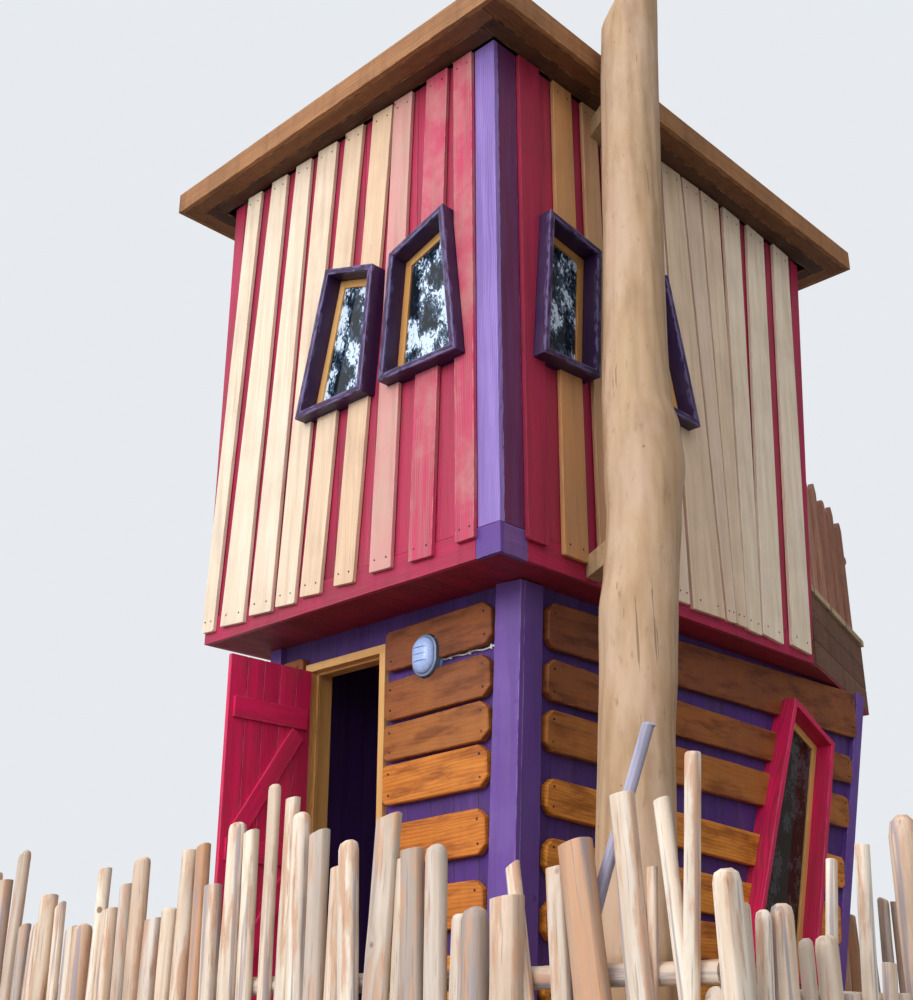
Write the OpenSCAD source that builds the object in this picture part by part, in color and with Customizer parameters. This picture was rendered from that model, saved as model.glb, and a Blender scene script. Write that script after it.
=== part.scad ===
// Crooked two-storey tree house: an overhanging upper box on a smaller lower storey,
// on a log-posted deck with a stake palisade, beside one tall debarked trunk.
// Millimetres. The origin is on the ground under the near corner of the lower storey,
// +X runs along the front with the tall window, +Y along the side with the door.

/* [Deck] */
// Height of the deck's walking surface above the ground
deck_top = 1400; // [1100:10:2000]
// Reach of the deck from the tower's corner post towards -X
deck_left = 1550; // [1300:10:1900]
// Reach of the deck from the tower's corner post towards -Y
deck_front = 2020; // [1500:10:2400]
// Reach of the deck from the tower's corner post towards +X
deck_right = 3500; // [3420:10:4000]
// Reach of the deck from the tower's corner post towards +Y
deck_back = 2010; // [1950:10:2400]
// Thickness of the deck boards
deck_board_t = 40; // [30:1:60]
// Width of a deck joist
joist_w = 60; // [45:1:80]
// Height of a deck joist
joist_h = 140; // [100:5:200]
// Distance between deck joists, centre to centre
joist_pitch = 560; // [450:10:700]
// Width of a deck beam
beam_w = 160; // [120:5:180]
// Height of a deck beam
beam_h = 180; // [140:5:220]
// Diameter of a debarked log post under the deck
post_d = 220; // [180:5:260]
// Distance between log posts along the front, centre to centre
post_pitch = 1620; // [1300:10:1700]
// Thickness of the rim board round the deck
rim_t = 40; // [30:1:50]
// Height of the rim board round the deck
rim_h = 200; // [120:5:260]

/* [Trunk] */
// Where the trunk's centre line meets the ground, along X
trunk_x = -255; // [-320:5:-200]
// Where the trunk's centre line stands, along Y
trunk_y = -692; // [-740:1:-690]
// Height of the tip of the trunk
trunk_top = 7150; // [6900:10:7600]
// Lean of the trunk towards +X, in degrees
trunk_lean = 4.1; // [3:0.1:4.5]
// Diameter of the trunk at the ground
trunk_foot_d = 380; // [360:5:400]
// Diameter of the trunk at its broken top
trunk_top_d = 310; // [280:2:330]
// How far the trunk bows out to the right at its swelling
trunk_bow = 52; // [0:1:60]
// Height of the broken slope at the trunk's top
trunk_break = 350; // [200:10:500]
// Width of the blocks between the trunk and the upper storey
tie_w = 100; // [80:5:120]
// Height of those blocks
tie_h = 110; // [90:5:140]
// Height of the lower block above the upper storey's underside
tie_up = 20; // [10:5:60]
// Distance from the upper block's foot to the top of the walls
tie_down = 240; // [180:5:400]
// How far they slant to the right on their way back to the wall
tie_skew = 230; // [150:5:240]
// Gap left between the trunk and the deck boards
trunk_gap = 25; // [15:1:40]

/* [Lower storey] */
// Thickness of every wall, boarded on both sides
wall_t = 130; // [100:5:160]
// Height of the overhanging upper storey's underside above the ground
upper_z = 3600; // [3560:10:3800]
// Length of the lower storey along X at the deck
lower_len_foot = 2780; // [2740:10:2900]
// Length of the lower storey along X at its top
lower_len_top = 3370; // [3300:10:3400]
// Inward lean of the front wall towards its foot, in degrees
front_lean = 3; // [1:0.5:4]
// Thickness of corner, base and end trim boards
trim_t = 30; // [25:1:40]
// Width of a lower corner board
lower_corner_w = 135; // [100:5:160]

/* [Door] */
// Distance of the doorway's near edge from the corner post
door_from = 905; // [850:5:940]
// Clear width of the doorway
door_w = 560; // [500:5:600]
// Height of the wall left over the door frame
over_door = 145; // [80:5:260]
// Thickness of the door frame boards
door_frame_t = 45; // [35:1:55]
// Thickness of the door leaf
leaf_t = 40; // [30:1:45]
// Gap round the closed leaf
leaf_gap = 6; // [5:0.5:10]
// Distance of the hinge pin's centre line outside the boarding
hinge_out = 14; // [13:1:20]
// Diameter of a hinge pin
pin_d = 12; // [10:1:14]
// Radial clearance between a hinge pin and its eye
pin_gap = 0.3; // [0.2:0.1:0.6]
// Length of a hinge strap on the leaf
strap_len = 380; // [250:10:450]

/* [Upper storey] */
// Overhang of the upper storey past the lower one towards -X
over_left = 344; // [300:2:400]
// Overhang of the upper storey past the lower one towards -Y
over_front = 178; // [150:2:200]
// Length of the upper storey along X at its floor
upper_len_foot = 2760; // [2700:10:2800]
// Length of the upper storey along X at its top
upper_len_top = 3120; // [3050:10:3200]
// Overhang of the upper storey past the lower one towards +Y
over_back = 142; // [100:2:180]
// Depth of the upper storey along Y
upper_depth = 2220; // [2150:10:2300]
// Height of the upper storey's walls, from its underside to the roof
upper_h = 2960; // [2700:10:3200]
// Thickness of the boards under the upper storey
soffit_t = 20; // [15:1:30]
// Height of an upper floor joist
floor_joist_h = 120; // [100:5:160]
// Thickness of the upper floor boards
floor_t = 40; // [25:1:50]
// Height of the base trim round the upper storey
base_h = 150; // [120:5:190]
// Width of an upper corner board
upper_corner_w = 140; // [110:5:170]
// Width of an end board at the far corners
end_board_w = 95; // [70:5:120]

/* [Windows] */
// Width of an upper window at its sill
window_w = 540; // [480:5:560]
// Height of an upper window's taller side
window_h = 870; // [780:5:900]
// Height of the upper windows' sills above the upper storey's underside
sill_up = 1100; // [1000:5:1200]
// Distance of the side wall's far window from the corner post
side_far_from = 620; // [600:5:660]
// Distance of the side wall's near window from the corner post
side_near_from = -75; // [-100:5:-60]
// Distance of the front wall's near window from the corner post
front_near_from = -200; // [-220:5:-160]
// Distance of the front wall's far window from the corner post
front_far_from = 640; // [560:5:800]
// Width of the tall window at its sill
tall_w = 695; // [600:5:750]
// Height of the tall window's taller side
tall_h = 1600; // [1450:5:1700]
// Height of the tall window's sill above the deck
tall_sill_up = 400; // [300:5:450]
// Distance of the tall window from the corner post
tall_from = 1640; // [1560:5:1700]
// Thickness of the boards of a window casing
casing_t = 35; // [25:1:45]
// How far a casing stands out from the wall
casing_out = 130; // [100:5:160]
// Width of a sash member
sash_w = 45; // [35:1:55]
// Thickness of a sash
sash_t = 35; // [30:1:45]
// How far the front of a sash lies behind the front of its casing
sash_back = 100; // [70:5:120]
// Thickness of the glass
glass_t = 6; // [4:1:8]
// Depth of the rebate that holds the glass, across the sash member
rebate = 12; // [8:1:15]
// Clearance round a sash and round a pane
pane_gap = 0.3; // [0.2:0.1:1]

/* [Roof] */
// Overhang of the roof past the near walls
eave_near = 240; // [200:5:250]
// Overhang of the roof past the far walls
eave_far = 310; // [250:5:360]
// Height of the roof rafters
rafter_h = 90; // [80:5:120]
// Width of a roof rafter
rafter_w = 60; // [50:5:80]
// Thickness of the roof boards
roof_t = 25; // [20:1:40]
// Thickness of the eave boards under the rafters
eave_t = 20; // [15:1:25]
// Width of the eave boards, from the fascia inwards
eave_w = 200; // [150:5:230]
// Height of the fascia
fascia_h = 140; // [135:5:190]
// Thickness of the fascia
fascia_t = 28; // [20:1:40]

/* [Terrace] */
// Reach of the terrace past the corner post towards +X
terrace_right = 3860; // [3700:10:4000]
// Height of the terrace floor above the underside of the upper storey
terrace_up = 530; // [450:10:620]
// How far the terrace's front edge runs back, in degrees
terrace_turn = 16; // [8:1:18]
// Thickness of the terrace rim planks
terrace_rim_t = 45; // [35:1:60]
// Thickness of the terrace floor boards
terrace_t = 40; // [30:1:50]
// Height of the terrace pickets above its floor
picket_h = 820; // [700:10:1000]
// Width of a terrace picket
picket_w = 105; // [80:5:130]
// Thickness of a terrace picket
picket_t = 35; // [25:1:45]
// Distance between terrace pickets, centre to centre
picket_pitch = 225; // [200:5:300]
// How much taller every second picket is
picket_step = 40; // [10:5:80]
// Height of the rough rail above the terrace floor
terrace_rail_up = 600; // [450:10:680]

/* [Palisade] */
// Diameter of the palisade's rail poles
rail_d = 65; // [50:1:80]
// Height of the rail poles above the deck
rail_up = 325; // [250:5:400]
// How far the rail poles are let into the stakes
rail_bite = 10; // [5:1:15]
// How far the stakes reach below the deck's surface
stake_drop = 190; // [120:5:240]
// Distance between the stakes on the sides that are out of view, centre to centre
stake_pitch = 98; // [85:1:140]
// Height of the tallest of those stakes above the deck
stake_h = 960; // [800:10:1100]
// How much shorter the shortest of them is
stake_h_spread = 400; // [200:10:450]

// Thickness of the stick that leans behind the near stakes
stick_d = 40; // [32:1:46]
// Length of that stick
stick_len = 1088; // [900:1:1150]
// Distance of its foot from the corner post, along Y
stick_foot = 1429; // [1390:1:1460]
// Lean of the stick, in degrees
stick_lean = 22.6; // [18:0.2:24]

/* [Lamp] */
// Distance of the lamp's centre from the corner post
lamp_from = 540; // [480:10:600]
// Drop of the lamp's centre below the upper storey's underside
lamp_below = 275; // [240:5:320]
// Width of the bulkhead lamp
lamp_w = 170; // [140:5:200]
// Height of the bulkhead lamp
lamp_h = 215; // [205:5:240]
// Depth of the lamp's housing
lamp_base_t = 62; // [50:1:75]
// Depth of the lamp's glass in front of the housing
lamp_glass_t = 42; // [30:1:60]
// Diameter of the lamp's cable
cable_d = 9; // [7:1:12]

/* [Hidden] */
$fn = 48;
cut = 50;

// Farther than any piece reaches along X or Y
reach = deck_left + deck_right + deck_front + deck_back;
lower_face = -wall_t / 2;
lower_in = wall_t / 2;
front_face = -wall_t / 2;
storey_h = upper_z - deck_top;
lower_end_run = (lower_len_top - lower_len_foot) / storey_h;

upper_face = lower_face - over_left;
upper_front = front_face - over_front;
upper_back = upper_front + upper_depth;
back_face = upper_back - over_back;
upper_top = upper_z + upper_h;
upper_end_run = (upper_len_top - upper_len_foot) / upper_h;
floor_under = upper_z + soffit_t;
floor_top = floor_under + floor_joist_h + floor_t;

door_near = door_from;
door_far = door_from + door_w;
door_h = storey_h - over_door - door_frame_t;
hinge_x = lower_face - trim_t - hinge_out;
hinge_y = door_far;
hinge_z = [deck_top + 260, deck_top + door_h / 2, deck_top + door_h - 300];

joist_top = deck_top - deck_board_t;
beam_top = joist_top - joist_h;
post_top = beam_top - beam_h;
post_y = [-deck_front + 160, 0, deck_back - 150];
post_x = [-deck_left + 150, 0, post_pitch, 2 * post_pitch];
trunk_at_deck = trunk_x + deck_top * tan(trunk_lean);
deck_hole_r = trunk_foot_d / 2 + trunk_gap;
terrace_z = upper_z + terrace_up;
terrace_x0 = end_x(terrace_z) + trim_t + 3;
railing_x0 = end_x(terrace_z + picket_h + picket_step) + trim_t + 10;
stake_x = -deck_left;
stake_y = -deck_front;
sash_front = casing_out - sash_back;

// A window's four corners, low-left, low-right, high-right, high-left, as shares of its size
function crooked(from, up, w, h, corners) = [for (c = corners) [from + w * c[0], up + h * c[1]]];
left_windows = [
    crooked(side_far_from, upper_z + sill_up, window_w, window_h,
        [[0, 0], [1, 0.006], [0.611, 1.011], [-0.13, 0.856]]),
    crooked(side_near_from, upper_z + sill_up, window_w, window_h,
        [[0, -0.017], [1.037, 0], [0.917, 0.856], [0.167, 1.006]]),
];
front_windows = [
    crooked(front_near_from, upper_z + sill_up, window_w, window_h,
        [[0, -0.017], [0.824, 0.006], [0.944, 0.92], [0.148, 0.989]]),
    crooked(front_far_from, upper_z + sill_up, window_w, window_h,
        [[0, 0.04], [0.954, 0.034], [0.546, 1.066], [-0.222, 0.897]]),
];
tall_window = crooked(tall_from, deck_top + tall_sill_up, tall_w, tall_h,
    [[0, 0], [1, 0], [1.511, 0.872], [0.878, 1]]);

// Palisade stakes seen from the front: place along the rail, width, top above the deck, lean.
left_stakes_near = [
    [-1922, 48, 898, 4.8], [-1802, 34, 603, 3.3], [-1955, 50, 786, -5.2], [-1808, 80, 808, -3.4],
    [-1525, 68, 627, -2], [-1678, 112, 695, -6.8], [-1410, 55, 660, -7], [-1325, 114, 555, 1],
    [-1195, 92, 530, 0], [-1100, 60, 515, 2], [-1020, 78, 730, 0], [-930, 88, 725, -1],
    [-840, 60, 700, 2], [-740, 105, 855, 5], [-630, 80, 780, -2], [-540, 70, 700, 1],
    [-450, 85, 830, 0], [-355, 75, 900, -1], [-265, 62, 960, 1], [-165, 52, 1020, 0],
];
front_stakes_near = [
    [-1530, 92, 582, 3], [-1475, 60, 500, 0], [-1404, 54, 491, -5], [-1306, 80, 509, -2],
    [-1150, 50, 424, 0], [-1056, 80, 435, 0.7], [-1083, 45, 672, -11.6], [-930, 62, 285, 1],
    [-847, 56, 723, -6.7], [-740, 60, 379, -9.4], [-534, 104, 827, -1.2], [-640, 70, 288, -2],
];

// The upper end wall leans out: its outer face at a height
function end_x(z) = upper_face + upper_len_foot + (z - upper_z) * upper_end_run;
// The lower end wall leans out too
function lower_end_x(z) = lower_face + lower_len_foot + (z - deck_top) * lower_end_run;
// The front wall of the lower storey is set back towards its foot
function front_y(z) = front_face + (upper_z - z) * tan(front_lean);
function unit(v) = v / norm(v);
// A corner-by-corner parallel offset, inwards for points that run anticlockwise
function inset(q, d) = [for (i = [0:len(q) - 1]) let (
    a = q[(i + len(q) - 1) % len(q)], b = q[i], c = q[(i + 1) % len(q)],
    u = unit(b - a), v = unit(c - b), s = u[0] * v[1] - u[1] * v[0]) b + (v - u) * d / s];

// A profile in Y and Z, drawn out along X
module slab_x(x, depth) {
    translate([x, 0, 0]) rotate([90, 0, 90]) linear_extrude(depth) children();
}
// A profile in X and Z, drawn out along Y
module slab_y(y, depth) {
    translate([0, y + depth, 0]) rotate([90, 0, 0]) linear_extrude(depth) children();
}
// Turns what is drawn on an upright front wall to the front wall's lean
module lean_front() {
    translate([0, front_face, upper_z]) rotate([front_lean, 0, 0])
        translate([0, -front_face, -upper_z]) children();
}
// Keeps only what lies between two heights
module between(low, high) {
    intersection() {
        children();
        translate([-reach, -reach, low]) cube([2 * reach, 2 * reach, high - low]);
    }
}

// Deck
module deck_posts() {
    color("burlywood") for (x = post_x, y = post_y)
        translate([x, y, 0]) cylinder(h = post_top, d = post_d);
}

module deck_beams() {
    color("peru") for (y = post_y)
        translate([-deck_left + rim_t, y - beam_w / 2, post_top])
            cube([deck_left + deck_right - 2 * rim_t, beam_w, beam_h]);
}

function joist_places() = concat(
    [for (i = [0:20]) let (x = trunk_at_deck + (i + 0.5) * joist_pitch)
        if (x < deck_right - rim_t - 1.5 * joist_w) x],
    [for (i = [0:20]) let (x = trunk_at_deck - (i + 0.5) * joist_pitch)
        if (x > -deck_left + rim_t + 1.5 * joist_w) x],
    [-deck_left + rim_t + joist_w / 2, deck_right - rim_t - joist_w / 2]);

module deck_joists() {
    color("peru") for (x = joist_places())
        translate([x - joist_w / 2, -deck_front + rim_t, beam_top])
            cube([joist_w, deck_front + deck_back - 2 * rim_t, joist_h]);
}

module deck_rim() {
    color("sienna") difference() {
        translate([-deck_left, -deck_front, joist_top - rim_h])
            cube([deck_left + deck_right, deck_front + deck_back, rim_h]);
        translate([rim_t - deck_left, rim_t - deck_front, joist_top - rim_h - cut])
            cube([deck_left + deck_right - 2 * rim_t, deck_front + deck_back - 2 * rim_t,
                rim_h + 2 * cut]);
    }
}

module deck_floor() {
    color("tan") difference() {
        translate([-deck_left, -deck_front, joist_top])
            cube([deck_left + deck_right, deck_front + deck_back, deck_board_t]);
        translate([trunk_at_deck, trunk_y, joist_top - cut])
            cylinder(h = deck_board_t + 2 * cut, r = deck_hole_r);
    }
}

// Trunk: a tapering, slightly bowed skin over rings of one direction, with a broken top.
// Each ring is a share of the height, of the bow and of the tapering radius.
trunk_rings = [[0, 0, 1], [0.1, 0, 0.98], [0.322, 0, 0.957], [0.378, 0.14, 0.944], [0.429, 0.38, 0.989],
    [0.464, 0.42, 1.022], [0.49, 0.68, 0.993], [0.529, 0.94, 1.01], [0.564, 1, 1.116],
    [0.593, 0.76, 1.087], [0.614, 0.36, 0.991], [0.667, 0.32, 0.954], [0.734, 0.27, 0.956],
    [0.818, 0.08, 0.967], [0.895, 0, 0.989], [1, 0, 1]];
trunk_sides = 40;
bow_way = 44;
function trunk_middle(share, bow) = [
    trunk_x + share * trunk_top * tan(trunk_lean) + bow * trunk_bow * cos(bow_way),
    trunk_y - bow * trunk_bow * sin(bow_way), share * trunk_top];

module trunk_body(grow) {
    points = [for (r = trunk_rings) let (
        radius = grow + r[2] * (trunk_foot_d + (trunk_top_d - trunk_foot_d) * r[0]) / 2)
        for (k = [0:trunk_sides - 1]) trunk_middle(r[0], r[1])
            + radius * [cos(360 * k / trunk_sides), sin(360 * k / trunk_sides), 0]];
    n = trunk_sides;
    last = len(trunk_rings) - 1;
    polyhedron(points, concat([[for (k = [0:n - 1]) k]], [[for (k = [n - 1:-1:0]) last * n + k]],
        [for (r = [0:last - 1], k = [0:n - 1])
            [r * n + k, (r + 1) * n + k, (r + 1) * n + (k + 1) % n, r * n + (k + 1) % n]]));
}
module debarked_trunk() {
    color("burlywood") difference() {
        trunk_body(0);
        translate(trunk_middle(1, 0) - [0, 0, trunk_break]) rotate([0, 0, -bow_way])
            translate([-trunk_top_d / 2, -trunk_top_d, 0]) rotate([0, -60, 0])
                cube([2 * trunk_top_d + trunk_break, 2 * trunk_top_d, 2 * trunk_break]);
    }
}

// Two timber blocks, scribed to the trunk, hold it off the storey behind it
module trunk_ties() {
    color("saddlebrown") difference() {
        for (z = [upper_z + tie_up, upper_top - tie_down]) {
            x = trunk_x + z * tan(trunk_lean);
            y1 = upper_front - (z < upper_z + base_h ? trim_t : 0);
            translate([0, 0, z]) linear_extrude(tie_h) polygon([[x - tie_w / 2, trunk_y],
                [x + tie_w / 2, trunk_y], [x + tie_w / 2 + tie_skew, y1], [x - tie_w / 2 + tie_skew, y1]]);
        }
        trunk_body(0.3);
    }
}

// Palisade: one stake stands at the origin of its line and leans along the line
module stake(w, top, lean, kind) {
    h = top + stake_drop;
    rotate([lean, 0, 0]) difference() {
        translate([-w / 2, 0, -stake_drop]) union() {
            cylinder(h = h - w * 0.35, d1 = w, d2 = w * 0.94, $fn = 24);
            translate([0, 0, h - w * 0.35])
                cylinder(h = w * 0.35, d1 = w * 0.94, d2 = kind == 1 ? w * 0.3 : w * 0.74, $fn = 24);
        }
        if (kind == 2)
            translate([-w / 2, -w, top - w * 0.35]) rotate([28, 0, 0])
                translate([-w, -w, 0]) cube([2 * w, 4 * w, w]);
    }
}

// A row of stakes along +Y, outside the line X = 0, with a rail pole let in behind them
module palisade(stakes, from, to, up) {
    union() {
        for (i = [0:len(stakes) - 1]) let (s = stakes[i])
            translate([0, s[0], 0]) stake(s[1], s[2], s[3], i % 3);
        translate([rail_d / 2 - rail_bite, from, up]) rotate([-90, 0, 0])
            cylinder(h = to - from, d = rail_d, $fn = 24);
    }
}

// A number between 0 and 1 that looks random but is the same each time
function chance(i, seed) = let (v = sin(i * 97.3 + seed * 41.7) * 1357.9) v - floor(v);

function filler_stakes(from, to, seed) = let (n = floor((to - from) / stake_pitch))
    [for (i = [0:n - 1]) [from + (i + 0.5) * (to - from) / n,
        stake_pitch * (0.6 + 0.36 * chance(i, seed)),
        stake_h - stake_h_spread * chance(i, seed + 1), 4 * chance(i, seed + 2) - 2]];

left_mid = -110;
front_mid = -420;

// The front rail passes under the side rails at the corners
front_rail_up = rail_up - rail_d - 2;
rail_end = 5;

module palisade_left_near() {
    color("tan") translate([stake_x, 0, deck_top]) union() {
        palisade(left_stakes_near, rail_end - deck_front, left_mid, rail_up);
        translate([stick_d / 2 - 4, -stick_foot, stick_d / 2 * sin(stick_lean) + 1])
            rotate([stick_lean, 0, 0]) cylinder(h = stick_len, d = stick_d, $fn = 24);
    }
}
module palisade_left_far() {
    color("tan") translate([stake_x, 0, deck_top])
        palisade(filler_stakes(left_mid, deck_back, 7), left_mid + rail_end, deck_back, rail_up);
}
// The front row is drawn along +Y, then turned onto +X
module front_row() {
    translate([0, stake_y, deck_top]) mirror([1, -1, 0]) children();
}
module palisade_front_near() {
    color("tan") front_row()
        palisade(front_stakes_near, 1 - deck_left, front_mid, front_rail_up);
}
module palisade_front_far() {
    color("tan") front_row() palisade(filler_stakes(front_mid, deck_right, 11),
        front_mid + rail_end, deck_right - rail_end, front_rail_up);
}
module palisade_right() {
    color("tan") translate([deck_right, 0, deck_top]) mirror([1, 0, 0])
        palisade(filler_stakes(-deck_front, deck_back, 23), rail_end - deck_front, deck_back, rail_up);
}

// Lower storey
module lower_front_wall() {
    outline = [[lower_in, deck_top - 200], [lower_end_x(deck_top - 200), deck_top - 200],
        [lower_end_x(upper_z + 200), upper_z + 200], [lower_in, upper_z + 200]];
    color("indigo") between(deck_top, upper_z) lean_front() difference() {
        slab_y(front_face, wall_t) polygon(outline);
        slab_y(front_face - cut, wall_t + 2 * cut) polygon(tall_window);
    }
}

module lower_back_wall() {
    color("indigo") slab_y(back_face - wall_t, wall_t)
        polygon([[lower_in, deck_top], [lower_end_x(deck_top), deck_top],
            [lower_end_x(upper_z), upper_z], [lower_in, upper_z]]);
}

module lower_end_wall() {
    t = wall_t / cos(atan(lower_end_run));
    color("indigo") difference() {
        slab_y(front_face, back_face - wall_t - front_face)
            polygon([[lower_end_x(deck_top) - t, deck_top], [lower_end_x(deck_top), deck_top],
                [lower_end_x(upper_z), upper_z], [lower_end_x(upper_z) - t, upper_z]]);
        lean_front() translate([0, front_face - storey_h, deck_top - storey_h])
            cube([3 * lower_len_top, storey_h + wall_t, 3 * storey_h]);
    }
}

module lower_side_wall_near() {
    to = door_near - door_frame_t;
    color("indigo") slab_x(lower_face, wall_t)
        polygon([[front_y(deck_top), deck_top], [to, deck_top], [to, upper_z],
            [front_y(upper_z), upper_z]]);
}
module lower_side_wall_far() {
    from = door_far + door_frame_t;
    color("indigo") translate([lower_face, from, deck_top])
        cube([wall_t, back_face - from, storey_h]);
}
module lower_side_wall_over_door() {
    low = deck_top + door_h + door_frame_t;
    color("indigo") translate([lower_face, door_near - door_frame_t, low])
        cube([wall_t, door_w + 2 * door_frame_t, upper_z - low]);
}

// Purple boards up the near corner and up the ends of the lower storey
module lower_corner_boards() {
    color("rebeccapurple") {
        between(deck_top, upper_z) slab_x(lower_face - trim_t, trim_t)
            polygon([[front_y(deck_top) - trim_t, deck_top],
                [front_y(deck_top) + lower_corner_w, deck_top],
                [front_y(upper_z) + lower_corner_w, upper_z], [front_y(upper_z) - trim_t, upper_z]]);
        between(deck_top, upper_z) lean_front()
            translate([lower_face, front_face - trim_t, deck_top - 100])
                cube([lower_corner_w, trim_t, storey_h + 200]);
        between(deck_top, upper_z) lean_front() slab_y(front_face - trim_t, trim_t)
            polygon([for (p = [[-end_board_w, -100], [0, -100], [0, storey_h + 100],
                [-end_board_w, storey_h + 100]])
                [lower_end_x(deck_top + p[1]) + p[0], deck_top + p[1]]]);
        translate([lower_face - trim_t, back_face - end_board_w, deck_top])
            cube([trim_t, end_board_w, storey_h]);
    }
}

// Door
module door_frame() {
    color("goldenrod") {
        slab_x(lower_face - trim_t, wall_t + trim_t) difference() {
            translate([door_near - door_frame_t, deck_top])
                square([door_w + 2 * door_frame_t, door_h + door_frame_t]);
            translate([door_near, deck_top - cut]) square([door_w, door_h + cut]);
        }
        slab_x(lower_face - trim_t + leaf_t + leaf_gap, 20) difference() {
            translate([door_near - 1, deck_top]) square([door_w + 2, door_h + 1]);
            translate([door_near + 14, deck_top - cut]) square([door_w - 28, door_h - 14 + cut]);
        }
    }
}

eye_h = 40;
lug_h = 12;
module door_pintles() {
    color("dimgray") for (z = hinge_z) translate([hinge_x, hinge_y, z]) {
        translate([hinge_out - 5, 16, -lug_h]) cube([5, 36, 90]);
        translate([-6, 0, -lug_h]) cube([hinge_out + 1, 20, lug_h]);
        translate([0, 0, -lug_h]) cylinder(h = lug_h, d = 22);
        cylinder(h = eye_h + 10, d = pin_d);
    }
}

// The leaf is drawn closed about its hinge line, then swung open to where it stands
module swung_open() {
    translate([hinge_x, hinge_y, 0]) rotate([0, 0, -90]) children();
}

module door_leaf() {
    color("crimson") swung_open() translate([hinge_out, -door_w + leaf_gap, deck_top + 8])
        cube([leaf_t, door_w - 2 * leaf_gap, door_h - 8 - leaf_gap]);
}

module door_straps() {
    color("dimgray") swung_open() for (z = hinge_z) difference() {
        translate([0, 0, z + pin_gap]) union() {
            translate([hinge_out - 5, -strap_len, 0]) cube([5, strap_len - leaf_gap, eye_h]);
            translate([pin_d / 2 + pin_gap + 1, -strap_len / 4, 0])
                cube([hinge_out - pin_d / 2 - pin_gap - 1, strap_len / 4, eye_h]);
            cylinder(h = eye_h, r = pin_d / 2 + pin_gap + 5);
        }
        translate([0, 0, z - cut]) cylinder(h = eye_h + 2 * cut, r = pin_d / 2 + pin_gap);
    }
}

// Windows: a deep casing, a sash set back in it, and a pane in the sash's rebate
module casing_section(q) {
    difference() {
        polygon(q);
        polygon(inset(q, casing_t));
    }
}
module sash_front_section(q) {
    difference() {
        polygon(inset(q, casing_t + pane_gap));
        polygon(inset(q, casing_t + sash_w));
    }
}
module sash_back_section(q) {
    difference() {
        polygon(inset(q, casing_t + pane_gap));
        polygon(inset(q, casing_t + sash_w - rebate));
    }
}
module pane_section(q) {
    polygon(inset(q, casing_t + sash_w - rebate + pane_gap));
}
// Each is set out along a wall whose outer face is at zero and whose inside is positive
shoulder = 12;

module tall_window_casing() {
    color("crimson") lean_front() slab_y(front_face - casing_out, casing_out + wall_t)
        casing_section(tall_window);
}
module upper_window_casings() {
    color("indigo") {
        for (q = left_windows) slab_x(upper_face - casing_out, casing_out + wall_t) casing_section(q);
        for (q = front_windows) slab_y(upper_front - casing_out, casing_out + wall_t) casing_section(q);
    }
}
module window_sashes() {
    color("goldenrod") {
        lean_front() {
            slab_y(front_face - sash_front, shoulder) sash_front_section(tall_window);
            slab_y(front_face - sash_front + shoulder, sash_t - shoulder) sash_back_section(tall_window);
        }
        for (q = left_windows) {
            slab_x(upper_face - sash_front, shoulder) sash_front_section(q);
            slab_x(upper_face - sash_front + shoulder, sash_t - shoulder) sash_back_section(q);
        }
        for (q = front_windows) {
            slab_y(upper_front - sash_front, shoulder) sash_front_section(q);
            slab_y(upper_front - sash_front + shoulder, sash_t - shoulder) sash_back_section(q);
        }
    }
}
module window_glass() {
    color("lightblue", 0.5) {
        lean_front() slab_y(front_face - sash_front + shoulder, glass_t) pane_section(tall_window);
        for (q = left_windows) slab_x(upper_face - sash_front + shoulder, glass_t) pane_section(q);
        for (q = front_windows) slab_y(upper_front - sash_front + shoulder, glass_t) pane_section(q);
    }
}

// Lamp and its clipped cable
lamp_y = lamp_from;
lamp_z = upper_z - lamp_below;
module lamp_shape(grow) {
    rise = (lamp_h - lamp_w) / 2;
    r = lamp_w / 2 + grow;
    hull() {
        translate([0, rise]) circle(r = r);
        translate([0, -rise]) circle(r = r);
    }
}
module lamp_housing() {
    color("lightslategray") translate([0, lamp_y, lamp_z])
        slab_x(lower_face - lamp_base_t, lamp_base_t) lamp_shape(0);
}
module lamp_glass() {
    color("whitesmoke") translate([lower_face - lamp_base_t, lamp_y, lamp_z]) rotate([0, -90, 0])
        rotate([0, 0, 90]) linear_extrude(lamp_glass_t, scale = 0.72) lamp_shape(-14);
}
module lamp_cable() {
    cable_z = lamp_z - 25;
    from = front_y(cable_z) + lower_corner_w + 2;
    to = lamp_y - lamp_w / 2;
    color("white") {
        translate([lower_face - cable_d / 2, from, cable_z]) rotate([-90, 0, 0])
            cylinder(h = to - from, d = cable_d, $fn = 16);
        for (y = [from + 45, from + 190])
            translate([lower_face - cable_d - 3, y, cable_z - 9]) cube([cable_d + 3, 10, 18]);
    }
}

// Upper storey
// The boards that close its underside, which run on under the terrace
module upper_soffit() {
    color("darkred") translate([0, 0, upper_z]) linear_extrude(soffit_t)
        polygon([[upper_face, upper_front], [terrace_x0, upper_front],
            [terrace_right, terrace_front(terrace_right)], [terrace_right, terrace_y1],
            [terrace_x0, terrace_y1], [terrace_x0, upper_back], [upper_face, upper_back]]);
}

module upper_floor_joists() {
    from = upper_face + wall_t;
    first = upper_front + wall_t + joist_w / 2 + 20;
    last = back_face - wall_t;
    count = 5;
    color("peru") for (i = [0:count - 1]) {
        y = first + i * (last - first) / (count - 1) - joist_w / 2;
        to = min(terrace_right - terrace_rim_t,
            terrace_x0 + (y - terrace_y0 - 1.2 * terrace_rim_t) / tan(terrace_turn));
        translate([from, y, floor_under]) cube([to - from, joist_w, floor_joist_h]);
    }
}

module upper_floor() {
    color("tan") translate([upper_face + wall_t, upper_front + wall_t, floor_top - floor_t])
        cube([end_x(floor_top) - upper_face - wall_t, upper_depth - 2 * wall_t, floor_t]);
}

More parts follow.
